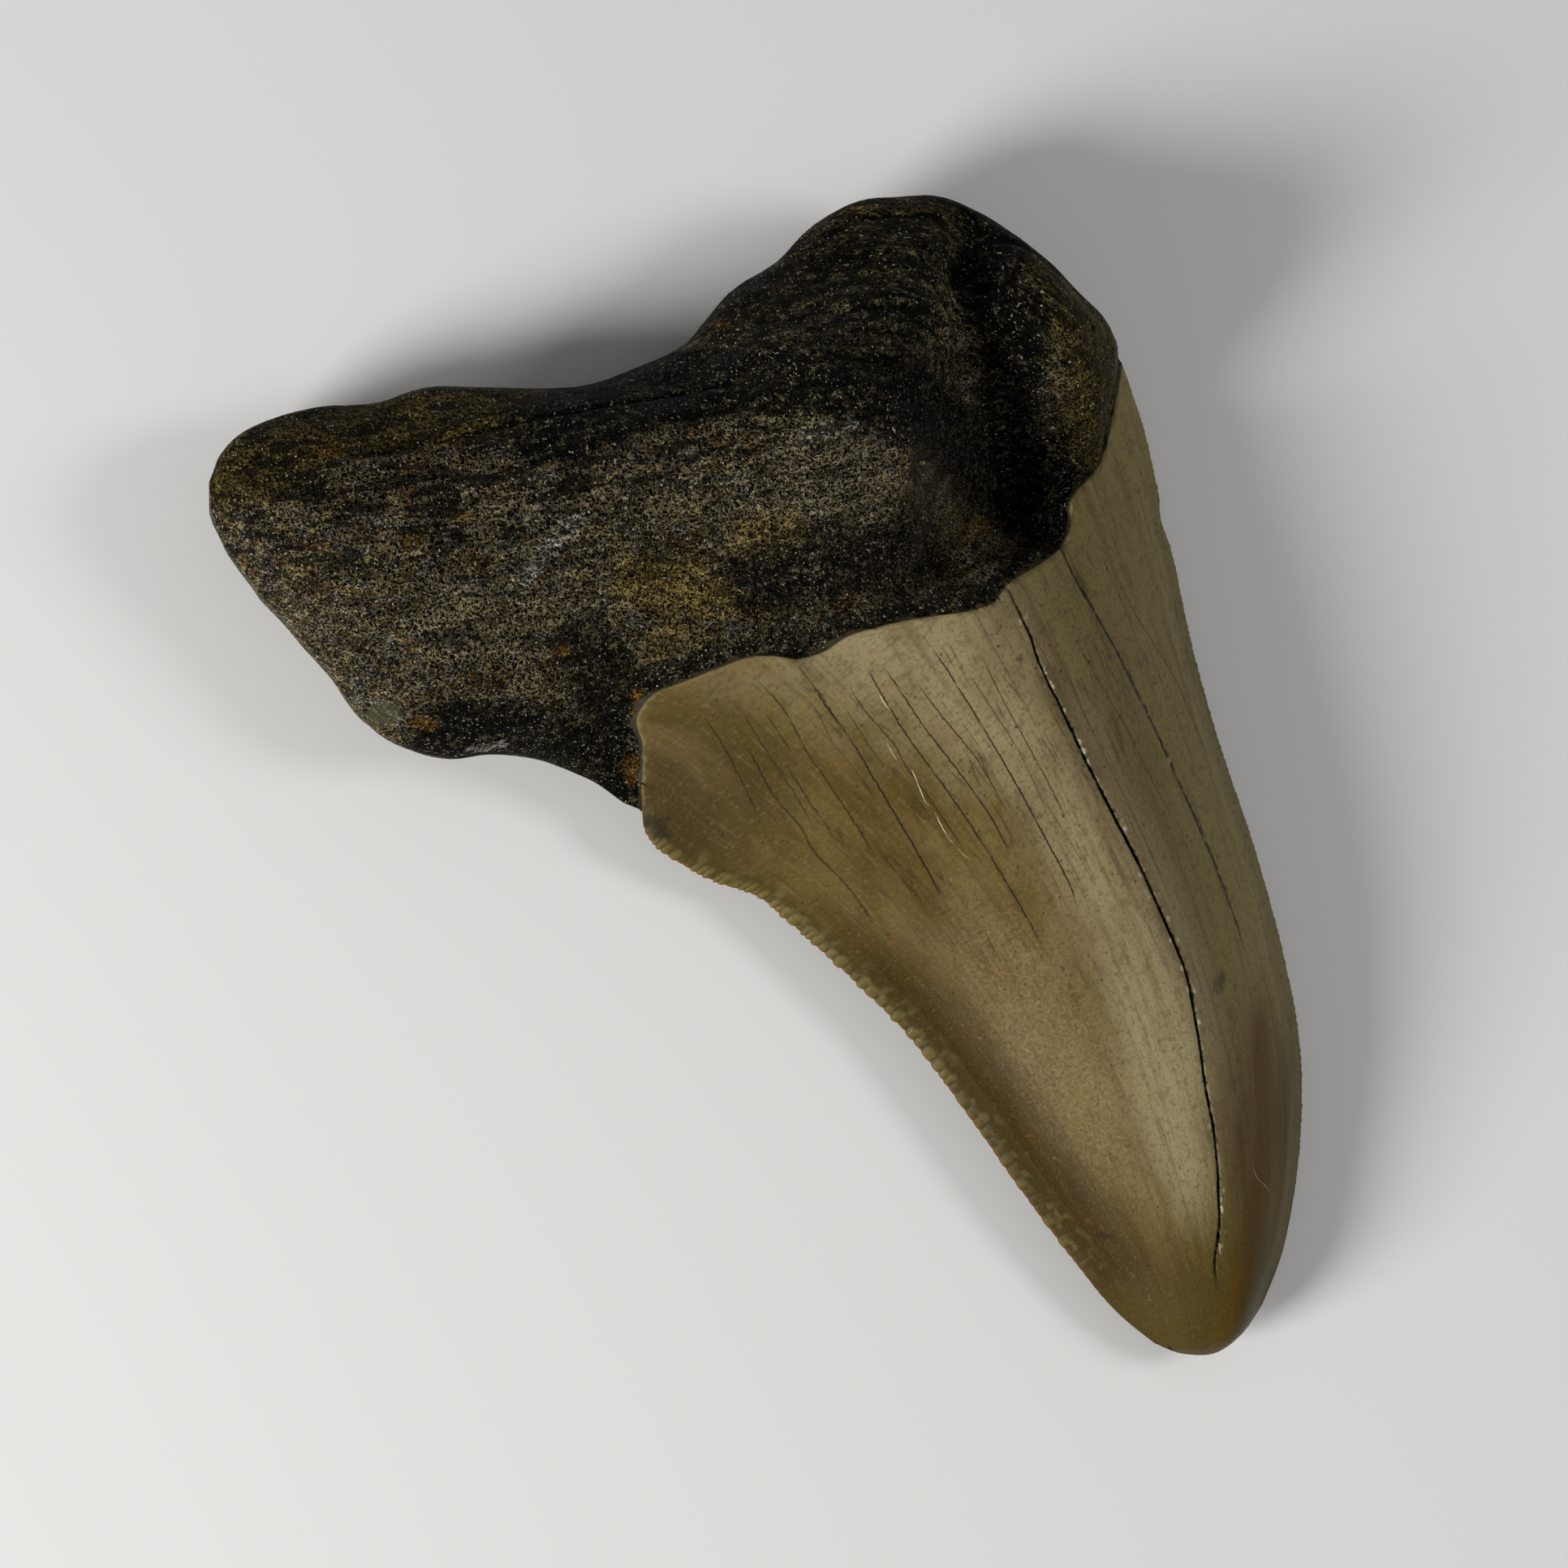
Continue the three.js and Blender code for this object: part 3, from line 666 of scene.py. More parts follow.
# Patches of colour on the root: lines through their places, with their reach and strength
patches = {
    # dark stain of the root, with painted shade laid in the valley, the deep hollow and under the long lobe
    "blackStainAndShadePatch": [
        ([(-28, 19.2), (-20, 19), (-14.2, 17.9), (-9.4, 15.9), (-4.7, 12.5), (0.7, 8.2), (5.7, 3.5)], 4, 1),
        ([(-33.0, 0.9), (-32.3, -0.5), (-32.0, -4.7), (-31.9, -8.0)], 3.2, 0.8),
        ([(-17.4, 0.6), (-12.4, -0.5), (-7.9, -1.5), (-3.0, -3.2)], 3.2, 0.75),
        # painted shade in the valley
        ([(18.3, 21.4), (17.1, 18.6), (13.5, 16.3), (13.9, 11.0), (11.0, 5.5), (12.0, 1.2)], 2.6, 1.0),
        # painted shade in the deep hollow
        ([(9.0, -0.3), (12.4, -1.6)], 4.8, 1.0),
        # painted shade along the long lobe's underside
        ([(-46.0, -0.9), (-42.0, -3.0), (-38.0, -5.4), (-34.2, -9.0)], 3.4, 1.0),
        ([(-8.1, 22.2), (1.7, 22.6), (10.2, 21.0), (3.5, 16.7), (-5.0, 16.8)], 4.2, 0.75),
    ],
    "farPatch": [([(-8.0, 17.0), (2.0, 19.5), (10.0, 20.0)], 6.5, 1.0)],
    "yellowPatch": [
        ([(-26.8, 4.6), (-25.3, 3.2), (-23.0, 2.2), (-21.2, 0.6)], 2.2, 0.9),
        ([(-27.4, -1.0), (-25.6, -1.4)], 1.6, 0.7),
        ([(-17.0, 3.9), (-14.0, 2.9)], 1.9, 0.8),
        ([(-36.0, 0.0), (-31.0, -2.5)], 2.4, 0.35),
    ],
    # painted light: lighter grain on the boss and on the root's facets that face the key lamp
    "paintedLightPatch": [
        ([(-12.6, 5.0), (-9.9, 8.0), (-7.4, 4.8)], 5.0, 0.8),
        ([(-42.2, 8.2), (-33.3, 4.2)], 4.0, 0.6),
        ([(-36.6, 14.5), (-30.0, 11.5), (-20.0, 10.5)], 2.6, 0.5),
    ],
    "whitePatch": [
        ([(-35.4, 8.6), (-33.0, 10.0), (-29.8, 11.2)], 0.55, 1.0), ([(-10.5, 9.6), (-6.5, 9.2)], 0.9, 0.45),
        ([(-51.4, 5.4), (-50.4, 4.6), (-49.4, 2.9)], 0.32, 1.0), ([(-44.6, -2.4), (-41.6, -3.0)], 0.3, 0.8),
    ],
    "chipPatch": [([(-50.3, 3.6), (-50.0, 3.2)], 0.9, 1.0)],
    "olivePatch": [
        ([(20.0, 19.0), (20.5, 14.8), (20.0, 9.0), (20.6, 4.3), (18.7, 0.1)], 4.2, 1.0),
        ([(-53.0, 26.5), (-44.0, 27.0), (-34.0, 24.0), (-25.0, 21.5)], 3.2, 0.8),
        ([(-6.0, 23.0), (3.0, 25.5), (9.0, 26.0), (15.0, 23.5)], 3.4, 0.9),
    ],
    "rustPatch": [
        ([(-45.9, 25.2), (-44.9, 24.9)], 0.58, 1.0), ([(-40.4, 21.4), (-39.6, 21.0)], 0.5, 0.9),
        ([(-36.6, 18.1), (-36.0, 17.9)], 0.43, 0.8), ([(-38.9, 15.5), (-37.9, 15.2)], 0.5, 1.0),
        ([(-43.4, 15.4), (-42.2, 15.1)], 0.5, 1.0), ([(-35.1, 2.1), (-34.5, 1.8)], 0.5, 0.9),
        ([(-43.0, 3.5), (-42.6, 3.2)], 0.43, 0.8), ([(-31.9, -10.3), (-31.6, -9.0)], 0.72, 1.0),
        ([(-48.0, 1.6), (-47.0, 0.9)], 0.58, 0.9), ([(-9.2, 21.9), (-8.8, 21.4)], 0.43, 0.8),
        ([(-22.1, 14.5), (-21.6, 14.4)], 0.43, 0.7), ([(4.9, -3.3), (3.2, -3.0)], 1.2, 0.7),
        ([(-30.4, -6.0), (-29.8, -3.4)], 0.58, 0.7),
    ],
}

# Hairline cracks in the enamel: places along the crown and across it, and how dark each is
hairCracks = [
    ([(-0.038, 0.163), (0.01, 0.147), (0.056, 0.13), (0.086, 0.118), (0.126, 0.105)], 0.65),
    ([(0.022, 0.168), (0.047, 0.16), (0.104, 0.141), (0.159, 0.135), (0.198, 0.12), (0.271, 0.112),
      (0.335, 0.098)], 0.7),
    ([(-0.017, 0.198), (0.031, 0.183), (0.135, 0.158), (0.174, 0.145)], 0.5),
    ([(0.071, 0.185), (0.098, 0.178), (0.138, 0.169), (0.168, 0.163), (0.211, 0.15)], 0.65),
    ([(0.001, 0.216), (0.031, 0.208), (0.065, 0.201), (0.086, 0.195)], 0.6),
    ([(-0.038, 0.238), (0.025, 0.231), (0.086, 0.213), (0.132, 0.206), (0.192, 0.193), (0.256, 0.175)], 0.75),
    ([(0.025, 0.263), (0.056, 0.259), (0.086, 0.25), (0.113, 0.243)], 0.45),
    ([(-0.014, 0.286), (0.053, 0.273), (0.119, 0.266), (0.189, 0.251), (0.274, 0.231), (0.356, 0.213)], 1.0),
    ([(0.059, 0.291), (0.086, 0.288), (0.132, 0.281), (0.168, 0.279)], 0.5),
    ([(0.393, 0.252), (0.423, 0.24), (0.472, 0.232)], 0.4),
    ([(0.047, 0.316), (0.089, 0.308), (0.15, 0.31), (0.183, 0.303), (0.25, 0.298), (0.32, 0.293)], 0.7),
    ([(0.037, 0.351), (0.068, 0.343), (0.144, 0.333), (0.265, 0.328), (0.38, 0.325), (0.466, 0.321)], 0.9),
    ([(0.059, 0.366), (0.132, 0.361), (0.201, 0.361), (0.299, 0.364), (0.36, 0.356)], 0.9),
    ([(0.104, 0.388), (0.165, 0.392), (0.232, 0.398), (0.296, 0.394)], 0.75),
    ([(0.08, 0.436), (0.156, 0.436), (0.223, 0.434), (0.341, 0.431), (0.423, 0.43), (0.46, 0.416)], 1.0),
    ([(0.135, 0.462), (0.2, 0.464), (0.262, 0.466), (0.341, 0.458)], 0.45),
    ([(0.126, 0.494), (0.156, 0.491), (0.211, 0.486), (0.28, 0.486), (0.359, 0.486)], 0.7),
    ([(0.05, 0.52), (0.12, 0.518), (0.26, 0.516)], 0.3),
    ([(0.186, 0.624), (0.214, 0.618), (0.268, 0.612), (0.35, 0.62), (0.5, 0.635)], 0.45),
    ([(0.189, 0.66), (0.232, 0.668), (0.265, 0.677), (0.326, 0.697), (0.381, 0.709), (0.432, 0.727)], 0.6),
    ([(0.168, 0.812), (0.201, 0.822), (0.235, 0.837), (0.305, 0.887), (0.332, 0.902), (0.42, 0.93)], 0.7),
    ([(0.1, 0.94), (0.2, 0.95), (0.32, 0.955)], 0.35),
]
hairSlope = [(0.1, 0.45), (-0.22, 0.0)]  # beyond its ends a line would run on at this slope

# Pale scratches: tracks in the same two shares, and the dashes on each with their start, end and strength
scratches = [
    ([(0.084, 0.337), (0.098, 0.334), (0.109, 0.335)], [(0.084, 0.109, 1.0)]),
    (
        [(0.139, 0.303), (0.172, 0.298), (0.187, 0.306), (0.237, 0.289), (0.25, 0.292), (0.291, 0.283),
         (0.328, 0.291)],
        [(0.14, 0.168, 0.5), (0.188, 0.236, 0.9), (0.254, 0.29, 0.9), (0.312, 0.328, 0.5)],
    ),
    ([(0.825, 0.7), (0.842, 0.727), (0.851, 0.762), (0.865, 0.807)], [(0.825, 0.865, 0.55)]),
]

# Small marks on the enamel: along and across the crown at both ends, half width, darkness or brightness
darkMarks = [
    ((0.612, 0.712), (0.618, 0.676), 0.55, 0.75),
    ((0.824, 0.112), (0.833, 0.148), 0.3, 1.0),
    ((0.648, 0.7), (0.656, 0.7), 0.45, 0.4),
    ((0.018, 0.008), (0.04, 0.022), 0.35, 1.0),
    ((0.038, 0.01), (0.052, 0.02), 0.28, 1.0),
    ((0.03, 0.022), (0.036, 0.034), 0.2, 0.9),
    ((-0.012, 0.287), (0.03, 0.279), 0.3, 0.6),
    ((0.2, 0.572), (0.34, 0.58), 0.8, 0.35),
    ((0.165, 0.546), (0.166, 0.547), 0.25, 0.9),
]

# The crown's zones of colour: along the crown, and their middle across it, reach or strength there
zoneKnots = {
    "amberMiddle": [(0.6, 0.86), (0.72, 0.8), (0.82, 0.775), (0.88, 0.72), (0.95, 0.57), (1.0, 0.5)],
    # lightMiddle, lightReach and lightAmount place the painted light along the ridge
    "lightMiddle": [(0, 0.42), (0.15, 0.46), (0.35, 0.5), (0.6, 0.49), (0.75, 0.44), (0.9, 0.42)],
    "lightReach": [(0, 0.2), (0.15, 0.17), (0.3, 0.13), (0.55, 0.13), (0.7, 0.17), (0.9, 0.12)],
    "lightAmount": [(0, 0.85), (0.12, 0.8), (0.3, 0.7), (0.5, 0.8), (0.66, 1), (0.8, 0.75), (0.93, 0)],
}
crownSpread = np.array([40, 66])  # millimetres across and along the crown, for its patterns
backShift = 30  # sets the patterns of the labial face apart


def patchMask(p, lines):
    total = np.zeros(p.shape[0])
    for line, reach, strength in lines:
        for start, end in zip(line[:-1], line[1:]):
            distance, _ = segmentDistance(p, start, end)
            total = np.maximum(total, strength * smooth(1.5 - distance / reach))
    return total


def nearestLine(v, places, strengths, width):
    # the distance to the nearest line, with a sign that alternates from line to line, so it never jumps
    order = np.argsort(places, axis=0)
    places = np.take_along_axis(places, order, 0)
    strengths = np.take_along_axis(strengths, order, 0)
    away = (v - places) * width
    nearest = np.argmin(np.abs(away), axis=0)[None]
    sign = np.where(nearest % 2 == 0, 1, -1)
    return (np.take_along_axis(away, nearest, 0) * sign)[0], np.take_along_axis(strengths, nearest, 0)[0]


def faded(t, start, end, over):
    return smooth((t - start) / over) * smooth((end - t) / over)


def hairTrack(knots):
    track = trackThrough(knots)(t)
    ends = ((knots[0], np.minimum(0, t - knots[0][0])), (knots[-1], np.maximum(0, t - knots[-1][0])))
    for (_, across), beyond in ends:
        track = track + np.interp(across, *hairSlope) * beyond
    return track


def zoneAt(name):
    return np.interp(t, *zip(*zoneKnots[name]))


print("tooth: masks for the materials")
width = widthAt(u)
masks = {name: patchMask(p, lines) * onFront for name, lines in patches.items()}
for name, lines in (("hair", hairCracks[::2]), ("otherHair", hairCracks[1::2])):
    places = np.stack([hairTrack(knots) for knots, _ in lines])
    strengths = np.stack([strength * faded(t, knots[0][0], knots[-1][0], 0.03) for knots, strength in lines])
    masks[name + "Away"], masks[name + "Strength"] = nearestLine(v, places, strengths, width)
places = np.stack([trackThrough(knots)(t) for knots, _ in scratches])
strengths = np.stack([
    sum(strength * faded(t, first, last, 0.006) for first, last, strength in dashes)
    for _, dashes in scratches
])
masks["scratchAway"], masks["scratchStrength"] = nearestLine(v, places, strengths, width)
nearMain = np.abs(toCrack["main"]) < np.abs(toCrack["second"])
masks["openAway"] = np.where(nearMain, toCrack["main"], -toCrack["second"])
openStrengths = {
    name: smooth((t - crack["start"] + 0.04) / crack["fade"]) * smooth((crack["end"] - t) / 0.05)
    for name, crack in openCracks.items()
}
masks["openStrength"] = np.where(nearMain, openStrengths["main"], 0.75 * openStrengths["second"])
for name in ("hairStrength", "otherHairStrength", "openStrength", "scratchStrength"):
    masks[name] = masks[name] * onFront * (into < 0)
crownPoints = np.stack([v, t], -1) * crownSpread
dark = np.zeros_like(u)
for start, end, reach, strength in darkMarks:
    distance, _ = segmentDistance(crownPoints, start[::-1] * crownSpread, end[::-1] * crownSpread)
    dark = np.maximum(dark, strength * smooth(1.4 - distance / reach))
masks["darkMark"] = dark * onFront
# a brown band along the concave edge: the enamel's own brown, with painted shade of the hollow beside the
# edge
concaveReach = mix(3.2, 7.6, smooth(t / 0.5))
masks["brownZone"] = smooth(1.15 - d / concaveReach) * (v < 0.5) * smooth((t - 0.1) / 0.4)
amberReach = mix(0.06, 0.12, smooth((t - 0.8) / 0.15))
masks["amberZone"] = bell(v - zoneAt("amberMiddle"), amberReach) * smooth((t - 0.6) / 0.12)
masks["tipZone"] = smooth((t - 0.84) / 0.12)
# painted light: a lighter band along the crown's ridge, where it faces the lamps
masks["lightZone"] = bell(v - zoneAt("lightMiddle"), zoneAt("lightReach")) * zoneAt("lightAmount")
# painted light: the crown's right flank lightened to stand for light falling on it
masks["flankZone"] = smooth((v - 0.57) / 0.08) * smooth((0.85 - t) / 0.3)
masks["pinkZone"] = 0.9 * bell(np.hypot((v - 0.25) / 0.14, (t - 0.6) / 0.28), 1.0)
# painted shade: a darker patch on the crown's left shoulder that dims its highlight
masks["shoulderZone"] = bell(np.hypot((v - 0.05) / 0.15, (t - 0.03) / 0.13), 1.0)
# painted highlight: a lighter band along the convex edge
masks["rimZone"] = smooth(1.4 - d / 1.8) * (v > 0.5) * smooth((t - 0.05) / 0.15) * smooth((1.0 - t) / 0.08)
masks["chippedEdge"] = (v < 0.5) * smooth((t - 0.012) / 0.03) * smooth((0.93 - t) / 0.12)
masks["crackedZone"] = smooth((t - 0.02) / 0.08) * smooth((0.62 - t) / 0.3) * smooth((v - 0.08) / 0.08)
masks["crackedZone"] *= onFront
masks["toRoot"] = into
masks["edgeAway"] = d
masks["upward"] = upward
masks["bead"] = bead * (v < 0.5)

lo, hi = points.min(0), points.max(0)
boxLow, boxHigh = (np.array(c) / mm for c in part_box("tooth"))
shift = np.array([*((boxLow + boxHigh) / 2 - (lo + hi) / 2)[:2], 0])
print("tooth: box", np.round(lo, 2), np.round(hi, 2))
print("part: box", np.round(boxLow, 2), np.round(boxHigh, 2))

meshData = makeMesh("fossil_tooth", (points + shift) * mm, polygons)
tooth = bpy.data.objects.new("fossil_tooth", meshData)
bpy.context.scene.collection.objects.link(tooth)
meshData.calc_loop_triangles()
print("tooth:", len(meshData.vertices), "vertices,", len(meshData.loop_triangles), "triangles")


def writeAttribute(data, name, values):
    kind, key = ("FLOAT", "value") if values.ndim == 1 else ("FLOAT_VECTOR", "vector")
    attribute = data.attributes.new(name, kind, "POINT")
    attribute.data.foreach_set(key, np.ascontiguousarray(values, dtype=np.float32).ravel())


for name, values in masks.items():
    writeAttribute(meshData, name, values)
writeAttribute(meshData, "fibre", fibre)
writeAttribute(meshData, "crownPlace", np.c_[crownPoints, face * backShift])
isEnamel = np.array([bool((into[polygon] < 0).any()) for polygon in polygons])
meshData.polygons.foreach_set("material_index", isEnamel.astype(np.int32))

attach(tooth, "root")
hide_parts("tooth")

# The camera looks down from the concave side, turned so that the crown points down and to the right
view = {
    "target": (-17.49, -16.02, 0.0),  # the middle of the picture, in the tooth's own frame
    "distance": 480.0,
    "tilt": 20.0,
    "roll": 25.0,
    "pixelsPerMm": 14.2,
    "pictureWidth": 1932,
}
tilt, roll = math.radians(view["tilt"]), math.radians(view["roll"])
back = Vector((-math.sin(tilt), 0, math.cos(tilt)))
flatX, flatY = Vector((math.cos(tilt), 0, math.sin(tilt))), Vector((0, 1, 0))
right = math.cos(roll) * flatX - math.sin(roll) * flatY
up = math.sin(roll) * flatX + math.cos(roll) * flatY
target = (Vector(view["target"]) + Vector(shift)) * mm
cameraData = bpy.data.cameras.new("camera")
cameraData.sensor_width = 36
cameraData.lens = 36 * view["pixelsPerMm"] * view["distance"] / view["pictureWidth"]
cameraData.clip_start = 0.01
camera = bpy.data.objects.new("camera", cameraData)
camera.matrix_world = Matrix.Translation(target + back * view["distance"] * mm) @ Matrix(
    (right, up, back)
).transposed().to_4x4()
bpy.context.scene.collection.objects.link(camera)
bpy.context.scene.camera = camera


def addLight(name, direction, distance, size, power):
    data = bpy.data.lights.new(name, "AREA")
    data.shape = "DISK"
    data.size = size
    data.energy = power
    light = bpy.data.objects.new(name, data)
    direction = direction.normalized()
    light.location = target + direction * distance
    light.rotation_mode = "QUATERNION"
    light.rotation_quaternion = direction.to_track_quat("Z", "Y")
    light.visible_camera = False
    bpy.context.scene.collection.objects.link(light)


# direction, distance and width in metres, and watts
addLight("key", back * 0.72 - right * 0.72 - up * 0.38, 0.7, 0.24, 7.0)
addLight("rim", back * 0.3 + right * 0.95 + up * 0.1, 0.7, 0.25, 1.4)
world = bpy.data.worlds.new("studio")
world.use_nodes = True
world.node_tree.nodes["Background"].inputs["Color"].default_value = (1, 1, 1, 1)
world.node_tree.nodes["Background"].inputs["Strength"].default_value = 0.19
bpy.context.scene.world = world
bpy.context.scene.view_settings.view_transform = "Standard"

# Materials. Colours are 0 to 255 as seen on a screen.
rootLook = {
    "ground": (4, 3, 1),
    # pale grain threads: the grains' own colour, partly painted glints off the grains
    "grainAndGlint": (160, 142, 96),
    "greyGrain": (118, 111, 94),
    "ochreGrain": (112, 82, 40),
    "glint": (186, 180, 158),
    "pit": (5, 4, 3),
    "along": (0.72, 1, 1),  # how the grain is stretched along the fibres, across them and in height
    "crossed": (1, 0.7, 1.15),
    "threads": {"Scale": 2.6, "Thickness": 0.07},
    "crossedThreads": {"Scale": 3.5, "Thickness": 0.06},
    "pits": {"Scale": 0.8, "Radius": 0.3, "Share": 0.3},
    "heights": {"threads": 0.09, "streak": 0.4, "cluster": 0.3, "fine": 0.05, "pits": -0.14},  # millimetres
    "roughness": (0.42, 0.6),
    "specular": 0.03,
    "coat": 0.05,
    "coatRoughness": 0.3,
}
rootNoises = {  # stretch, scale, detail and roughness
    "streak": ((0.28, 1, 1), 0.8, 3.0, 0.55),
    "cluster": ((1, 1, 1), 0.9, 3.0, 0.6),
    "fine": (rootLook["along"], 7.0, 2.0, 0.6),
    "furrow": ((0.2, 1, 1), 1.25, 2.0, 0.5),
    "thinning": (rootLook["crossed"], 1.5, 2.0, 0.6),
    "ochre": (rootLook["crossed"], 0.5, 3.0, 0.6),
    "glint": (rootLook["crossed"], 4.5, 1.0, 0.5),
}
# the grain tones stand partly for painted glints off the grains
patchTones = {  # in the order in which they are laid: ground, grain on it, and how far the patch covers
    "farPatch": ((4, 4, 2), (188, 176, 122), 0.8),
    # painted light on the facets that face the key lamp
    "paintedLightPatch": ((5, 4, 2), (158, 147, 114), 0.6),
    "yellowPatch": ((20, 15, 3), (166, 141, 68), 0.7),
    "olivePatch": ((16, 12, 2), (108, 92, 32), 0.85),
    "slate": ((3, 3, 2), (100, 93, 66), 0.9),  # the dark neck along the enamel
    # dark stain, and painted shade in the valley, the hollow and under the long lobe
    "blackStainAndShadePatch": ((1, 1, 0), (94, 90, 62), 0.95),
    "rustPatch": ((34, 22, 4), (156, 112, 34), 0.6),
    "whitePatch": ((24, 23, 18), (206, 202, 186), 0.8),
    "chipPatch": ((66, 64, 44), (84, 82, 58), 0.75),
}
enamelTones = {
    "plain": (73, 57, 18),
    "cloud": (91, 75, 34),
    # painted light on the ridge
    "light": (148, 135, 101),
    # brown of the concave margin, partly painted shade
    "brown": (53, 38, 7),
    "amber": (80, 58, 5),
    "tip": (68, 56, 20),
    # painted light on the right flank
    "flank": (122, 110, 66),
    "pink": (114, 98, 62),
    # painted shade on the left shoulder
    "shoulder": (54, 46, 24),
    # painted highlight along the convex edge
    "rim": (98, 92, 66),
    "streak": (66, 51, 24),
    "paleStreak": (140, 127, 94),
    "fleck": (62, 48, 24),
    "paleFleck": (140, 126, 94),
    "warm": (106, 84, 52),
    "blotch": (66, 52, 26),
    "crackle": (158, 142, 108),
    "speck": (48, 33, 16),
    "notch": (60, 51, 20),
    "bead": (94, 86, 46),
    # painted highlights on the chipped edge
    "glassyHighlight": (124, 112, 76),
    "edge": (116, 76, 22),
    "border": (112, 100, 70),
    # painted shadow line at the enamel's step
    "stepShadow": (16, 13, 7),
    "stain": (40, 33, 20),
    "hairline": (30, 22, 11),
    "scratch": (206, 196, 168),
    "chip": (176, 166, 138),
    "crack": (9, 7, 4),
}
enamelNoises = {  # stretch, scale, detail and roughness
    "streak": ((1, 0.05, 1), 1.1, 4.0, 0.62),
    "fineStreak": ((1, 0.05, 1), 4.5, 3.0, 0.6),
    "cloud": ((1, 0.45, 1), 0.16, 4.0, 0.6),
    "fleck": ((1, 1, 1), 3.2, 3.0, 0.7),
    "warm": ((1, 0.2, 1), 0.35, 3.0, 0.6),
    "blotch": ((1, 1, 1), 1.1, 4.0, 0.7),
    "edge": ((1, 1, 1), 0.6, 2.0, 0.5),
    "glassyHighlight": ((1, 1, 1), 0.8, 2.0, 0.5),
    "gaps": ((1, 1, 1), 0.35, 2.0, 0.5),
    "wear": ((1, 1, 1), 0.5, 2.0, 0.6),
    "gape": ((1, 1, 1), 1.2, 3.0, 0.7),
}
crownZones = {  # in the order in which they are laid: how uneven the zone's edge is, and how far it covers
    # the light and flank zones are painted light, the rim zone a painted highlight, the shoulder zone painted
    # shade, and the brown zone partly painted shade
    "light": (0.7, 0.9), "flank": (0.5, 0.85), "pink": (1.3, 0.75), "brown": (0.8, 0.96),
    "tip": (0.6, 0.85), "amber": (0.6, 1.0), "shoulder": (0.8, 0.65), "rim": (0.7, 0.6),
}
enamelLayers = [  # noise, the values where it sets in and is full, its share there, and its tone
    ("streak", 0.48, 0.7, 0.42, "streak"), ("fineStreak", 0.54, 0.74, 0.16, "paleStreak"),
    ("fleck", 0.52, 0.64, 0.4, "fleck"), ("fleck", 0.45, 0.32, 0.18, "paleFleck"),
    ("warm", 0.5, 0.62, 0.25, "warm"), ("blotch", 0.52, 0.62, 0.3, "blotch"),
]
enamelLook = {
    "calmed": ("streak", "fineStreak", "warm"),  # these layers are weak at the margin and the tip
    "crackle": {"Scale": 1.6, "Thickness": 0.06},
    "specks": {"Scale": 1.2, "Radius": 0.18, "Share": 0.22},
    "faintCracks": {"Scale": 0.9, "Thickness": 0.032},
    "flakes": {"Scale": 1.4, "Radius": 0.42, "Share": 0.42},
    "grains": {"Scale": 1.7, "Radius": 0.32, "Share": 0.4},
    "hair": (0.1, 0.25),  # a line's half width and wander, in millimetres
    "scratch": (0.05, 0.12),
    "crackLips": (0.75, 0.8),
    "crackHalfWidth": (0.13, 0.36),  # from its narrowest to its widest
    "crackWander": 0.4,
    "heights": {"streak": 0.05, "fineStreak": 0.015, "fleck": 0.025, "specks": -0.03, "hair": -0.06},
    "specular": 0.09,
    "coat": 0.02,
    "coatRoughness": 0.25,
}


def paint(colour):
    return (*(((c / 255 + 0.055) / 1.055) ** 2.4 for c in colour), 1.0)


class Nodes:
    # a node tree and short ways to add to it
    def __init__(self, tree):
        self.tree = tree

    def add(self, kind, inputs=(), **settings):
        node = self.tree.nodes.new(kind)
        for key, value in settings.items():
            setattr(node, key, value)
        for key, value in dict(inputs).items():
            self.put(node.inputs[key], value)
        return node

    def put(self, socket, value):
        if isinstance(value, bpy.types.NodeSocket):
            self.tree.links.new(value, socket)
        else:
            socket.default_value = value

    def math(self, operation, *values):
        return self.add("ShaderNodeMath", dict(enumerate(values)), operation=operation).outputs[0]

    def times(self, *values):
        product = values[0]
        for value in values[1:]:
            product = self.math("MULTIPLY", product, value)
        return product

    def most(self, *values):
        return self.math("MAXIMUM", *values)

    def swayed(self, noise, amount, value):
        # the value, moved up and down by a noise
        return self.math("MULTIPLY_ADD", self.math("SUBTRACT", noise, 0.5), amount, value)

    def steps(self, value, low, high, first=0.0, last=1.0):
        inputs = {"Value": value, "From Min": low, "From Max": high, "To Min": first, "To Max": last}
        return self.add("ShaderNodeMapRange", inputs, interpolation_type="SMOOTHSTEP").outputs[0]

    def blend(self, share, a, b):
        return self.add("ShaderNodeMix", {0: share, 6: a, 7: b}, data_type="RGBA").outputs[2]

    def noise(self, vector, scale, detail, roughness, distortion=0.0):
        inputs = {"Vector": vector, "Scale": scale, "Detail": detail, "Roughness": roughness}
        inputs["Distortion"] = distortion
        return self.add("ShaderNodeTexNoise", inputs).outputs["Fac"]

    def stretch(self, vector, factors):
        return self.add("ShaderNodeVectorMath", {0: vector, 1: factors}, operation="MULTIPLY").outputs[0]

    def noises(self, vector, table):
        made = {}
        for name, (factors, *rest) in table.items():
            made[name] = self.noise(self.stretch(vector, factors), *rest)
        return made

    def attribute(self, name, output="Fac"):
        return self.add("ShaderNodeAttribute", attribute_name=name).outputs[output]

    def group(self, tree, inputs):
        node = self.tree.nodes.new("ShaderNodeGroup")
        node.node_tree = tree
        for key, value in inputs.items():
            self.put(node.inputs[key], value)
        return node.outputs[0]

    def bump(self, patterns, heights):
        height = 0.0
        for name, amount in heights.items():
            height = self.math("MULTIPLY_ADD", patterns[name], amount, height)
        return self.add("ShaderNodeBump", {"Height": height, "Distance": mm, "Strength": 1.0}).outputs[0]


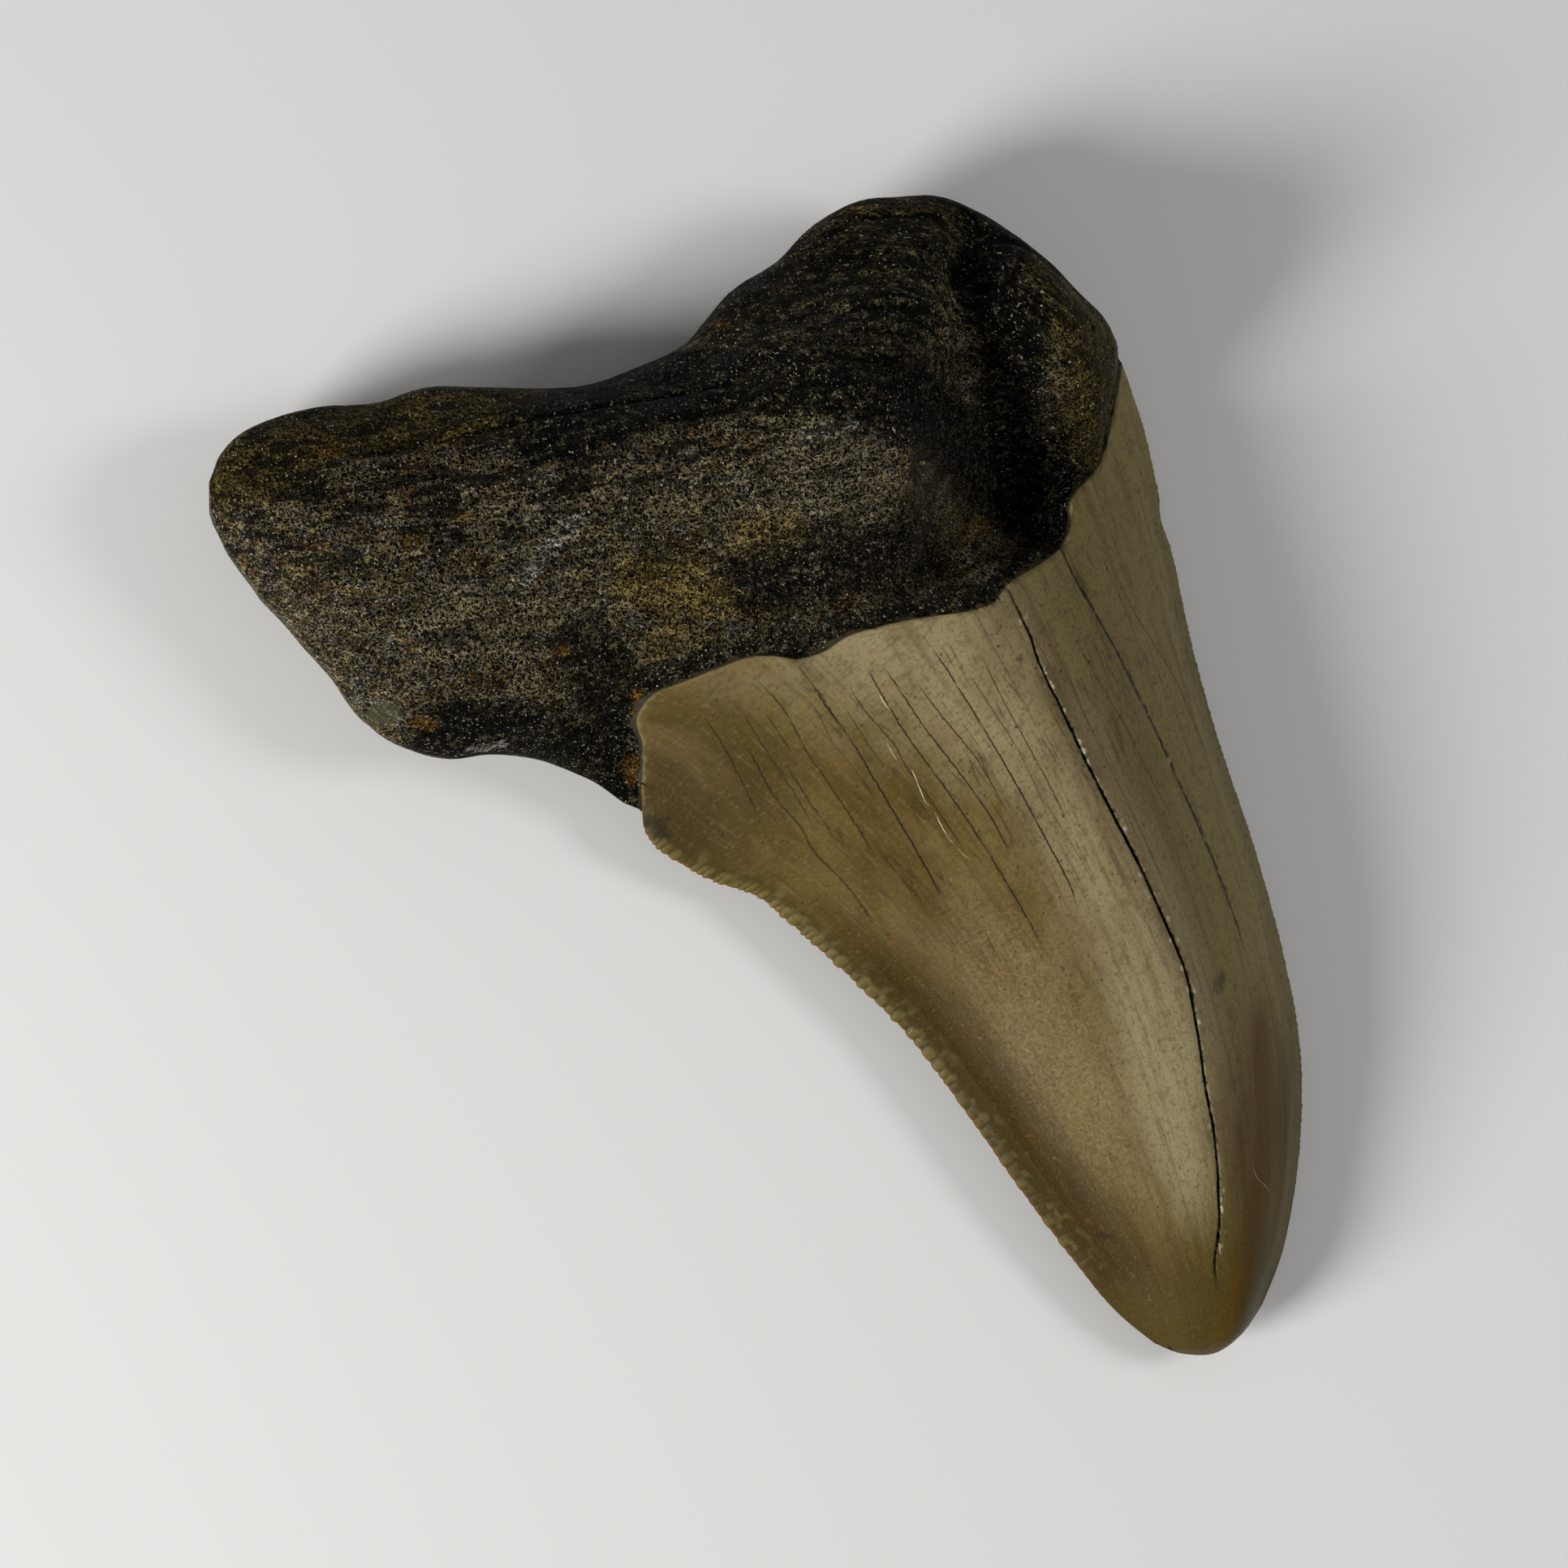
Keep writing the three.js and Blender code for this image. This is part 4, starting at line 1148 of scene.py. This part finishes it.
def newGroup(name, vectors, numbers, build):
    tree = bpy.data.node_groups.new(name, "ShaderNodeTree")
    for kind, keys in (("NodeSocketVector", vectors), ("NodeSocketFloat", numbers)):
        for key in keys:
            tree.interface.new_socket(name=key, in_out="INPUT", socket_type=kind)
    tree.interface.new_socket(name="Mask", in_out="OUTPUT", socket_type="NodeSocketFloat")
    nodes = Nodes(tree)
    entry = nodes.add("NodeGroupInput")
    nodes.add("NodeGroupOutput", {"Mask": build(nodes, entry.outputs)})
    return tree


def buildRagged(n, given):
    # a soft mask broken up by noise
    wave = n.noise(given["Vector"], given["Scale"], 3.0, 0.6)
    return n.steps(n.swayed(wave, given["Amount"], given["Mask"]), 0.3, 0.7)


def buildSoft(n, given):
    # a soft mask with a slightly uneven edge
    wave = n.noise(given["Vector"], given["Scale"], 4.0, 0.62)
    return n.steps(n.swayed(wave, given["Amount"], given["Mask"]), 0.05, 0.95)


def buildDots(n, given):
    # round dots in some of the cells of a Voronoi pattern
    cells = n.add("ShaderNodeTexVoronoi", {"Vector": given["Vector"], "Scale": given["Scale"]})
    random = n.add("ShaderNodeSeparateColor", {0: cells.outputs["Color"]}).outputs[0]
    chosen = n.math("LESS_THAN", random, given["Share"])
    inner = n.times(given["Radius"], 0.5)
    return n.times(chosen, n.steps(cells.outputs["Distance"], inner, given["Radius"], 1.0, 0.0))


def buildThreads(n, given):
    # thin winding threads, where a noise passes its middle value
    wave = n.noise(given["Vector"], given["Scale"], 1.5, 0.5, 0.3)
    away = n.math("ABSOLUTE", n.math("SUBTRACT", wave, 0.5))
    return n.steps(away, 0.0, given["Thickness"], 1.0, 0.0)


def buildLine(n, given):
    # a thin wandering line along the places where the distance is nothing
    wander = n.noise(given["Vector"], 2.2, 3.0, 0.6)
    away = n.math("ABSOLUTE", n.swayed(wander, given["Wander"], given["Away"]))
    inner = n.times(given["Half width"], 0.3)
    return n.times(n.steps(away, inner, given["Half width"], 1.0, 0.0), given["Strength"])


ragged = newGroup("ragged mask", ["Vector"], ["Mask", "Scale", "Amount"], buildRagged)
soft = newGroup("soft mask", ["Vector"], ["Mask", "Scale", "Amount"], buildSoft)
dots = newGroup("dots", ["Vector"], ["Scale", "Radius", "Share"], buildDots)
threads = newGroup("threads", ["Vector"], ["Scale", "Thickness"], buildThreads)
thinLine = newGroup("thin line", ["Vector"], ["Away", "Half width", "Wander", "Strength"], buildLine)


def newMaterial(name):
    material = bpy.data.materials.new(name)
    material.use_nodes = True
    nodes = Nodes(material.node_tree)
    return material, nodes, material.node_tree.nodes["Principled BSDF"]


def rootMaterial():
    material, n, shader = newMaterial("fossil root")
    fibre = n.attribute("fibre", "Vector")
    along, crossed = (n.stretch(fibre, rootLook[name]) for name in ("along", "crossed"))
    made = n.noises(fibre, rootNoises)
    main = n.group(threads, {"Vector": along, **rootLook["threads"]})
    second = n.group(threads, {"Vector": crossed, **rootLook["crossedThreads"]})
    made["threads"] = n.most(main, n.times(second, 0.8))
    amount = n.math("ADD", n.times(made["streak"], 0.5), n.times(made["cluster"], 0.5))
    # the pale grain threads, partly painted glints off the grains
    grainAndGlint = n.times(made["threads"], n.steps(amount, 0.38, 0.6, 0.3, 1.0))
    grainAndGlint = n.times(grainAndGlint, n.steps(made["fine"], 0.3, 0.6, 0.55, 1.0))
    # painted shade: the grain is darkened along the furrows, most on the slope above the crest that turns
    # away from the lamp
    furrowShade = n.most(n.steps(made["furrow"], 0.4, 0.52), n.steps(n.attribute("upward"), 0.2, 0.9, 0.75, 0.18))
    grainAndGlint = n.times(grainAndGlint, furrowShade)
    sparse = n.times(grainAndGlint, n.steps(made["thinning"], 0.5, 0.6))
    grainAndGlintTones = [paint(rootLook[name]) for name in ("grainAndGlint", "greyGrain", "ochreGrain")]
    pale = n.blend(n.steps(made["cluster"], 0.44, 0.58), *grainAndGlintTones[:2])
    pale = n.blend(n.steps(made["ochre"], 0.5, 0.68, 0.0, 0.8), pale, grainAndGlintTones[2])
    colour = n.blend(grainAndGlint, paint(rootLook["ground"]), pale)
    zones = {name: n.attribute(name) for name in patches}
    nearEnamel = n.steps(n.attribute("toRoot"), 3.6, 0.8, 0.0, 0.85)
    zones["slate"] = n.times(nearEnamel, n.math("SUBTRACT", 1.0, zones["olivePatch"]))
    for name, (ground, grainAndGlintTone, share) in patchTones.items():
        kind = ragged if name in ("chipPatch", "whitePatch", "rustPatch") else soft
        uneven = 0.3 if name == "chipPatch" else 1.2
        mask = n.group(kind, {"Mask": zones[name], "Vector": crossed, "Scale": 0.8, "Amount": uneven})
        over = sparse if name in ("blackStainAndShadePatch", "slate") else grainAndGlint
        tones = n.blend(over, paint(ground), paint(grainAndGlintTone))
        colour = n.blend(n.times(mask, share), colour, tones)
    # painted glints: small pale flecks standing for highlights on the grains
    colour = n.blend(n.steps(made["glint"], 0.66, 0.74, 0.0, 0.55), colour, paint(rootLook["glint"]))
    made["pits"] = n.group(dots, {"Vector": along, **rootLook["pits"]})
    colour = n.blend(n.times(made["pits"], 0.8), colour, paint(rootLook["pit"]))
    n.put(shader.inputs["Base Color"], colour)
    n.put(shader.inputs["Roughness"], n.steps(made["cluster"], 0.3, 0.7, *rootLook["roughness"]))
    n.put(shader.inputs["Normal"], n.bump(made, rootLook["heights"]))
    n.put(shader.inputs["Coat Weight"], n.times(grainAndGlint, rootLook["coat"]))
    shader.inputs["Coat Roughness"].default_value = rootLook["coatRoughness"]
    shader.inputs["Specular IOR Level"].default_value = rootLook["specular"]
    return material


def enamelMaterial():
    material, n, shader = newMaterial("fossil enamel")
    crown = n.attribute("crownPlace", "Vector")
    made = n.noises(crown, enamelNoises)
    tones = {name: paint(tone) for name, tone in enamelTones.items()}

    def line(name, halfWidth, wander):
        inputs = {key: n.attribute(name + key) for key in ("Away", "Strength")}
        return n.group(thinLine, {"Vector": crown, "Half width": halfWidth, "Wander": wander, **inputs})

    colour = n.blend(n.steps(made["cloud"], 0.35, 0.65), tones["plain"], tones["cloud"])
    zones = {name: n.attribute(name + "Zone") for name in crownZones}
    halfAlong = n.stretch(crown, (1, 0.5, 1))
    for name, (uneven, share) in crownZones.items():
        inputs = {"Mask": zones[name], "Vector": halfAlong, "Scale": 0.35, "Amount": uneven}
        colour = n.blend(n.times(n.group(soft, inputs), share), colour, tones[name])

    calm = n.most(n.most(zones["brown"], zones["tip"]), zones["amber"])
    streaky = n.steps(calm, 0.1, 0.9, 1.0, 0.2)
    for name, low, high, share, tone in enamelLayers:
        share = n.steps(made[name], low, high, 0.0, share)
        if name in enamelLook["calmed"]:
            share = n.times(share, streaky)
        colour = n.blend(share, colour, tones[tone])
    crackle = n.group(threads, {"Vector": crown, **enamelLook["crackle"]})
    crackle = n.times(crackle, n.steps(n.math("ADD", made["blotch"], zones["pink"]), 0.8, 1.25))
    made["specks"] = n.group(dots, {"Vector": crown, **enamelLook["specks"]})

    # the serrated edge: beads with painted glassy highlights between them, and an amber line along it
    onEdge, edgeAway = n.attribute("chippedEdge"), n.attribute("edgeAway")
    wavy = n.swayed(made["edge"], 2.2, edgeAway)
    beads = n.blend(n.steps(n.attribute("bead"), 0.25, 0.7), tones["notch"], tones["bead"])
    glassyHighlight = n.times(n.steps(made["glassyHighlight"], 0.5, 0.62), n.steps(wavy, 0.3, 1.0), 0.4)
    beads = n.blend(glassyHighlight, beads, tones["glassyHighlight"])
    strip = n.times(n.steps(wavy, 0.7, 2.5, 1.0, 0.0), onEdge, 0.65)
    edge = {"Mask": n.steps(edgeAway, 0.1, 0.4, 1.0, 0.0), "Vector": crown, "Scale": 0.6, "Amount": 3.0}

    # the border on the root: splintered enamel, and a painted shadow line where the enamel steps down
    toRoot = n.attribute("toRoot")
    splinters = {"Mask": n.steps(toRoot, -0.6, 0.1), "Vector": crown, "Scale": 1.4, "Amount": 2.6}

    # hairline cracks, scratches and the two open cracks
    faint = n.group(threads, {"Vector": n.stretch(crown, (1, 0.06, 1)), **enamelLook["faintCracks"]})
    faint = n.times(faint, n.steps(made["gaps"], 0.42, 0.6), n.attribute("crackedZone"), 0.45)
    hair = n.most(*(line(name, *enamelLook["hair"]) for name in ("hair", "otherHair")))
    hair = n.times(n.most(hair, faint), n.steps(made["wear"], 0.32, 0.46, 0.45, 1.0))
    made["hair"] = hair
    flakes = n.group(dots, {"Vector": crown, **enamelLook["flakes"]})
    flakes = n.times(flakes, n.steps(n.attribute("openStrength"), 0.8, 0.95, 0.0, 0.8))
    crackHalfWidth = n.steps(made["gape"], 0.36, 0.64, *enamelLook["crackHalfWidth"])
    openCrack = line("open", crackHalfWidth, enamelLook["crackWander"])
    grains = n.group(dots, {"Vector": halfAlong, **enamelLook["grains"]})

    for share, tone in (
        (n.times(crackle, 0.2), tones["crackle"]),
        (n.times(made["specks"], 0.6), tones["speck"]),
        (strip, beads),
        (n.times(n.group(ragged, edge), onEdge, 0.28), tones["edge"]),
        (n.times(n.group(ragged, splinters), 0.5), tones["border"]),
        # painted shadow line along the enamel's step onto the root
        (n.steps(toRoot, -0.16, 0.0, 0.0, 0.85), tones["stepShadow"]),
        (n.times(n.attribute("darkMark"), 0.8), tones["stain"]),
        (n.times(hair, 0.9), tones["hairline"]),
        (n.times(line("scratch", *enamelLook["scratch"]), 0.85), tones["scratch"]),
        (n.times(line("open", *enamelLook["crackLips"]), flakes), tones["chip"]),
        (openCrack, tones["crack"]),
        (n.times(openCrack, grains, 0.8), tones["chip"]),
    ):
        colour = n.blend(share, colour, tone)
    rough = n.steps(made["cloud"], 0.3, 0.7, 0.4, 0.52)
    n.put(shader.inputs["Base Color"], colour)
    n.put(shader.inputs["Roughness"], n.math("MULTIPLY_ADD", zones["shoulder"], 0.25, rough))
    n.put(shader.inputs["Normal"], n.bump(made, enamelLook["heights"]))
    shader.inputs["Specular IOR Level"].default_value = enamelLook["specular"]
    shader.inputs["Coat Weight"].default_value = enamelLook["coat"]
    shader.inputs["Coat Roughness"].default_value = enamelLook["coatRoughness"]
    return material


print("materials")
meshData.materials.append(rootMaterial())
meshData.materials.append(enamelMaterial())

floorMesh = bpy.data.meshes.new("floor")
floorMesh.from_pydata([(-1, -1, 0), (1, -1, 0), (1, 1, 0), (-1, 1, 0)], [], [(0, 1, 2, 3)])
floor = bpy.data.objects.new("floor", floorMesh)
bpy.context.scene.collection.objects.link(floor)
floorMaterial, _, floorShader = newMaterial("pale floor")
floorShader.inputs["Base Color"].default_value = (0.78, 0.77, 0.75, 1)
floorShader.inputs["Roughness"].default_value = 0.6
floorMesh.materials.append(floorMaterial)
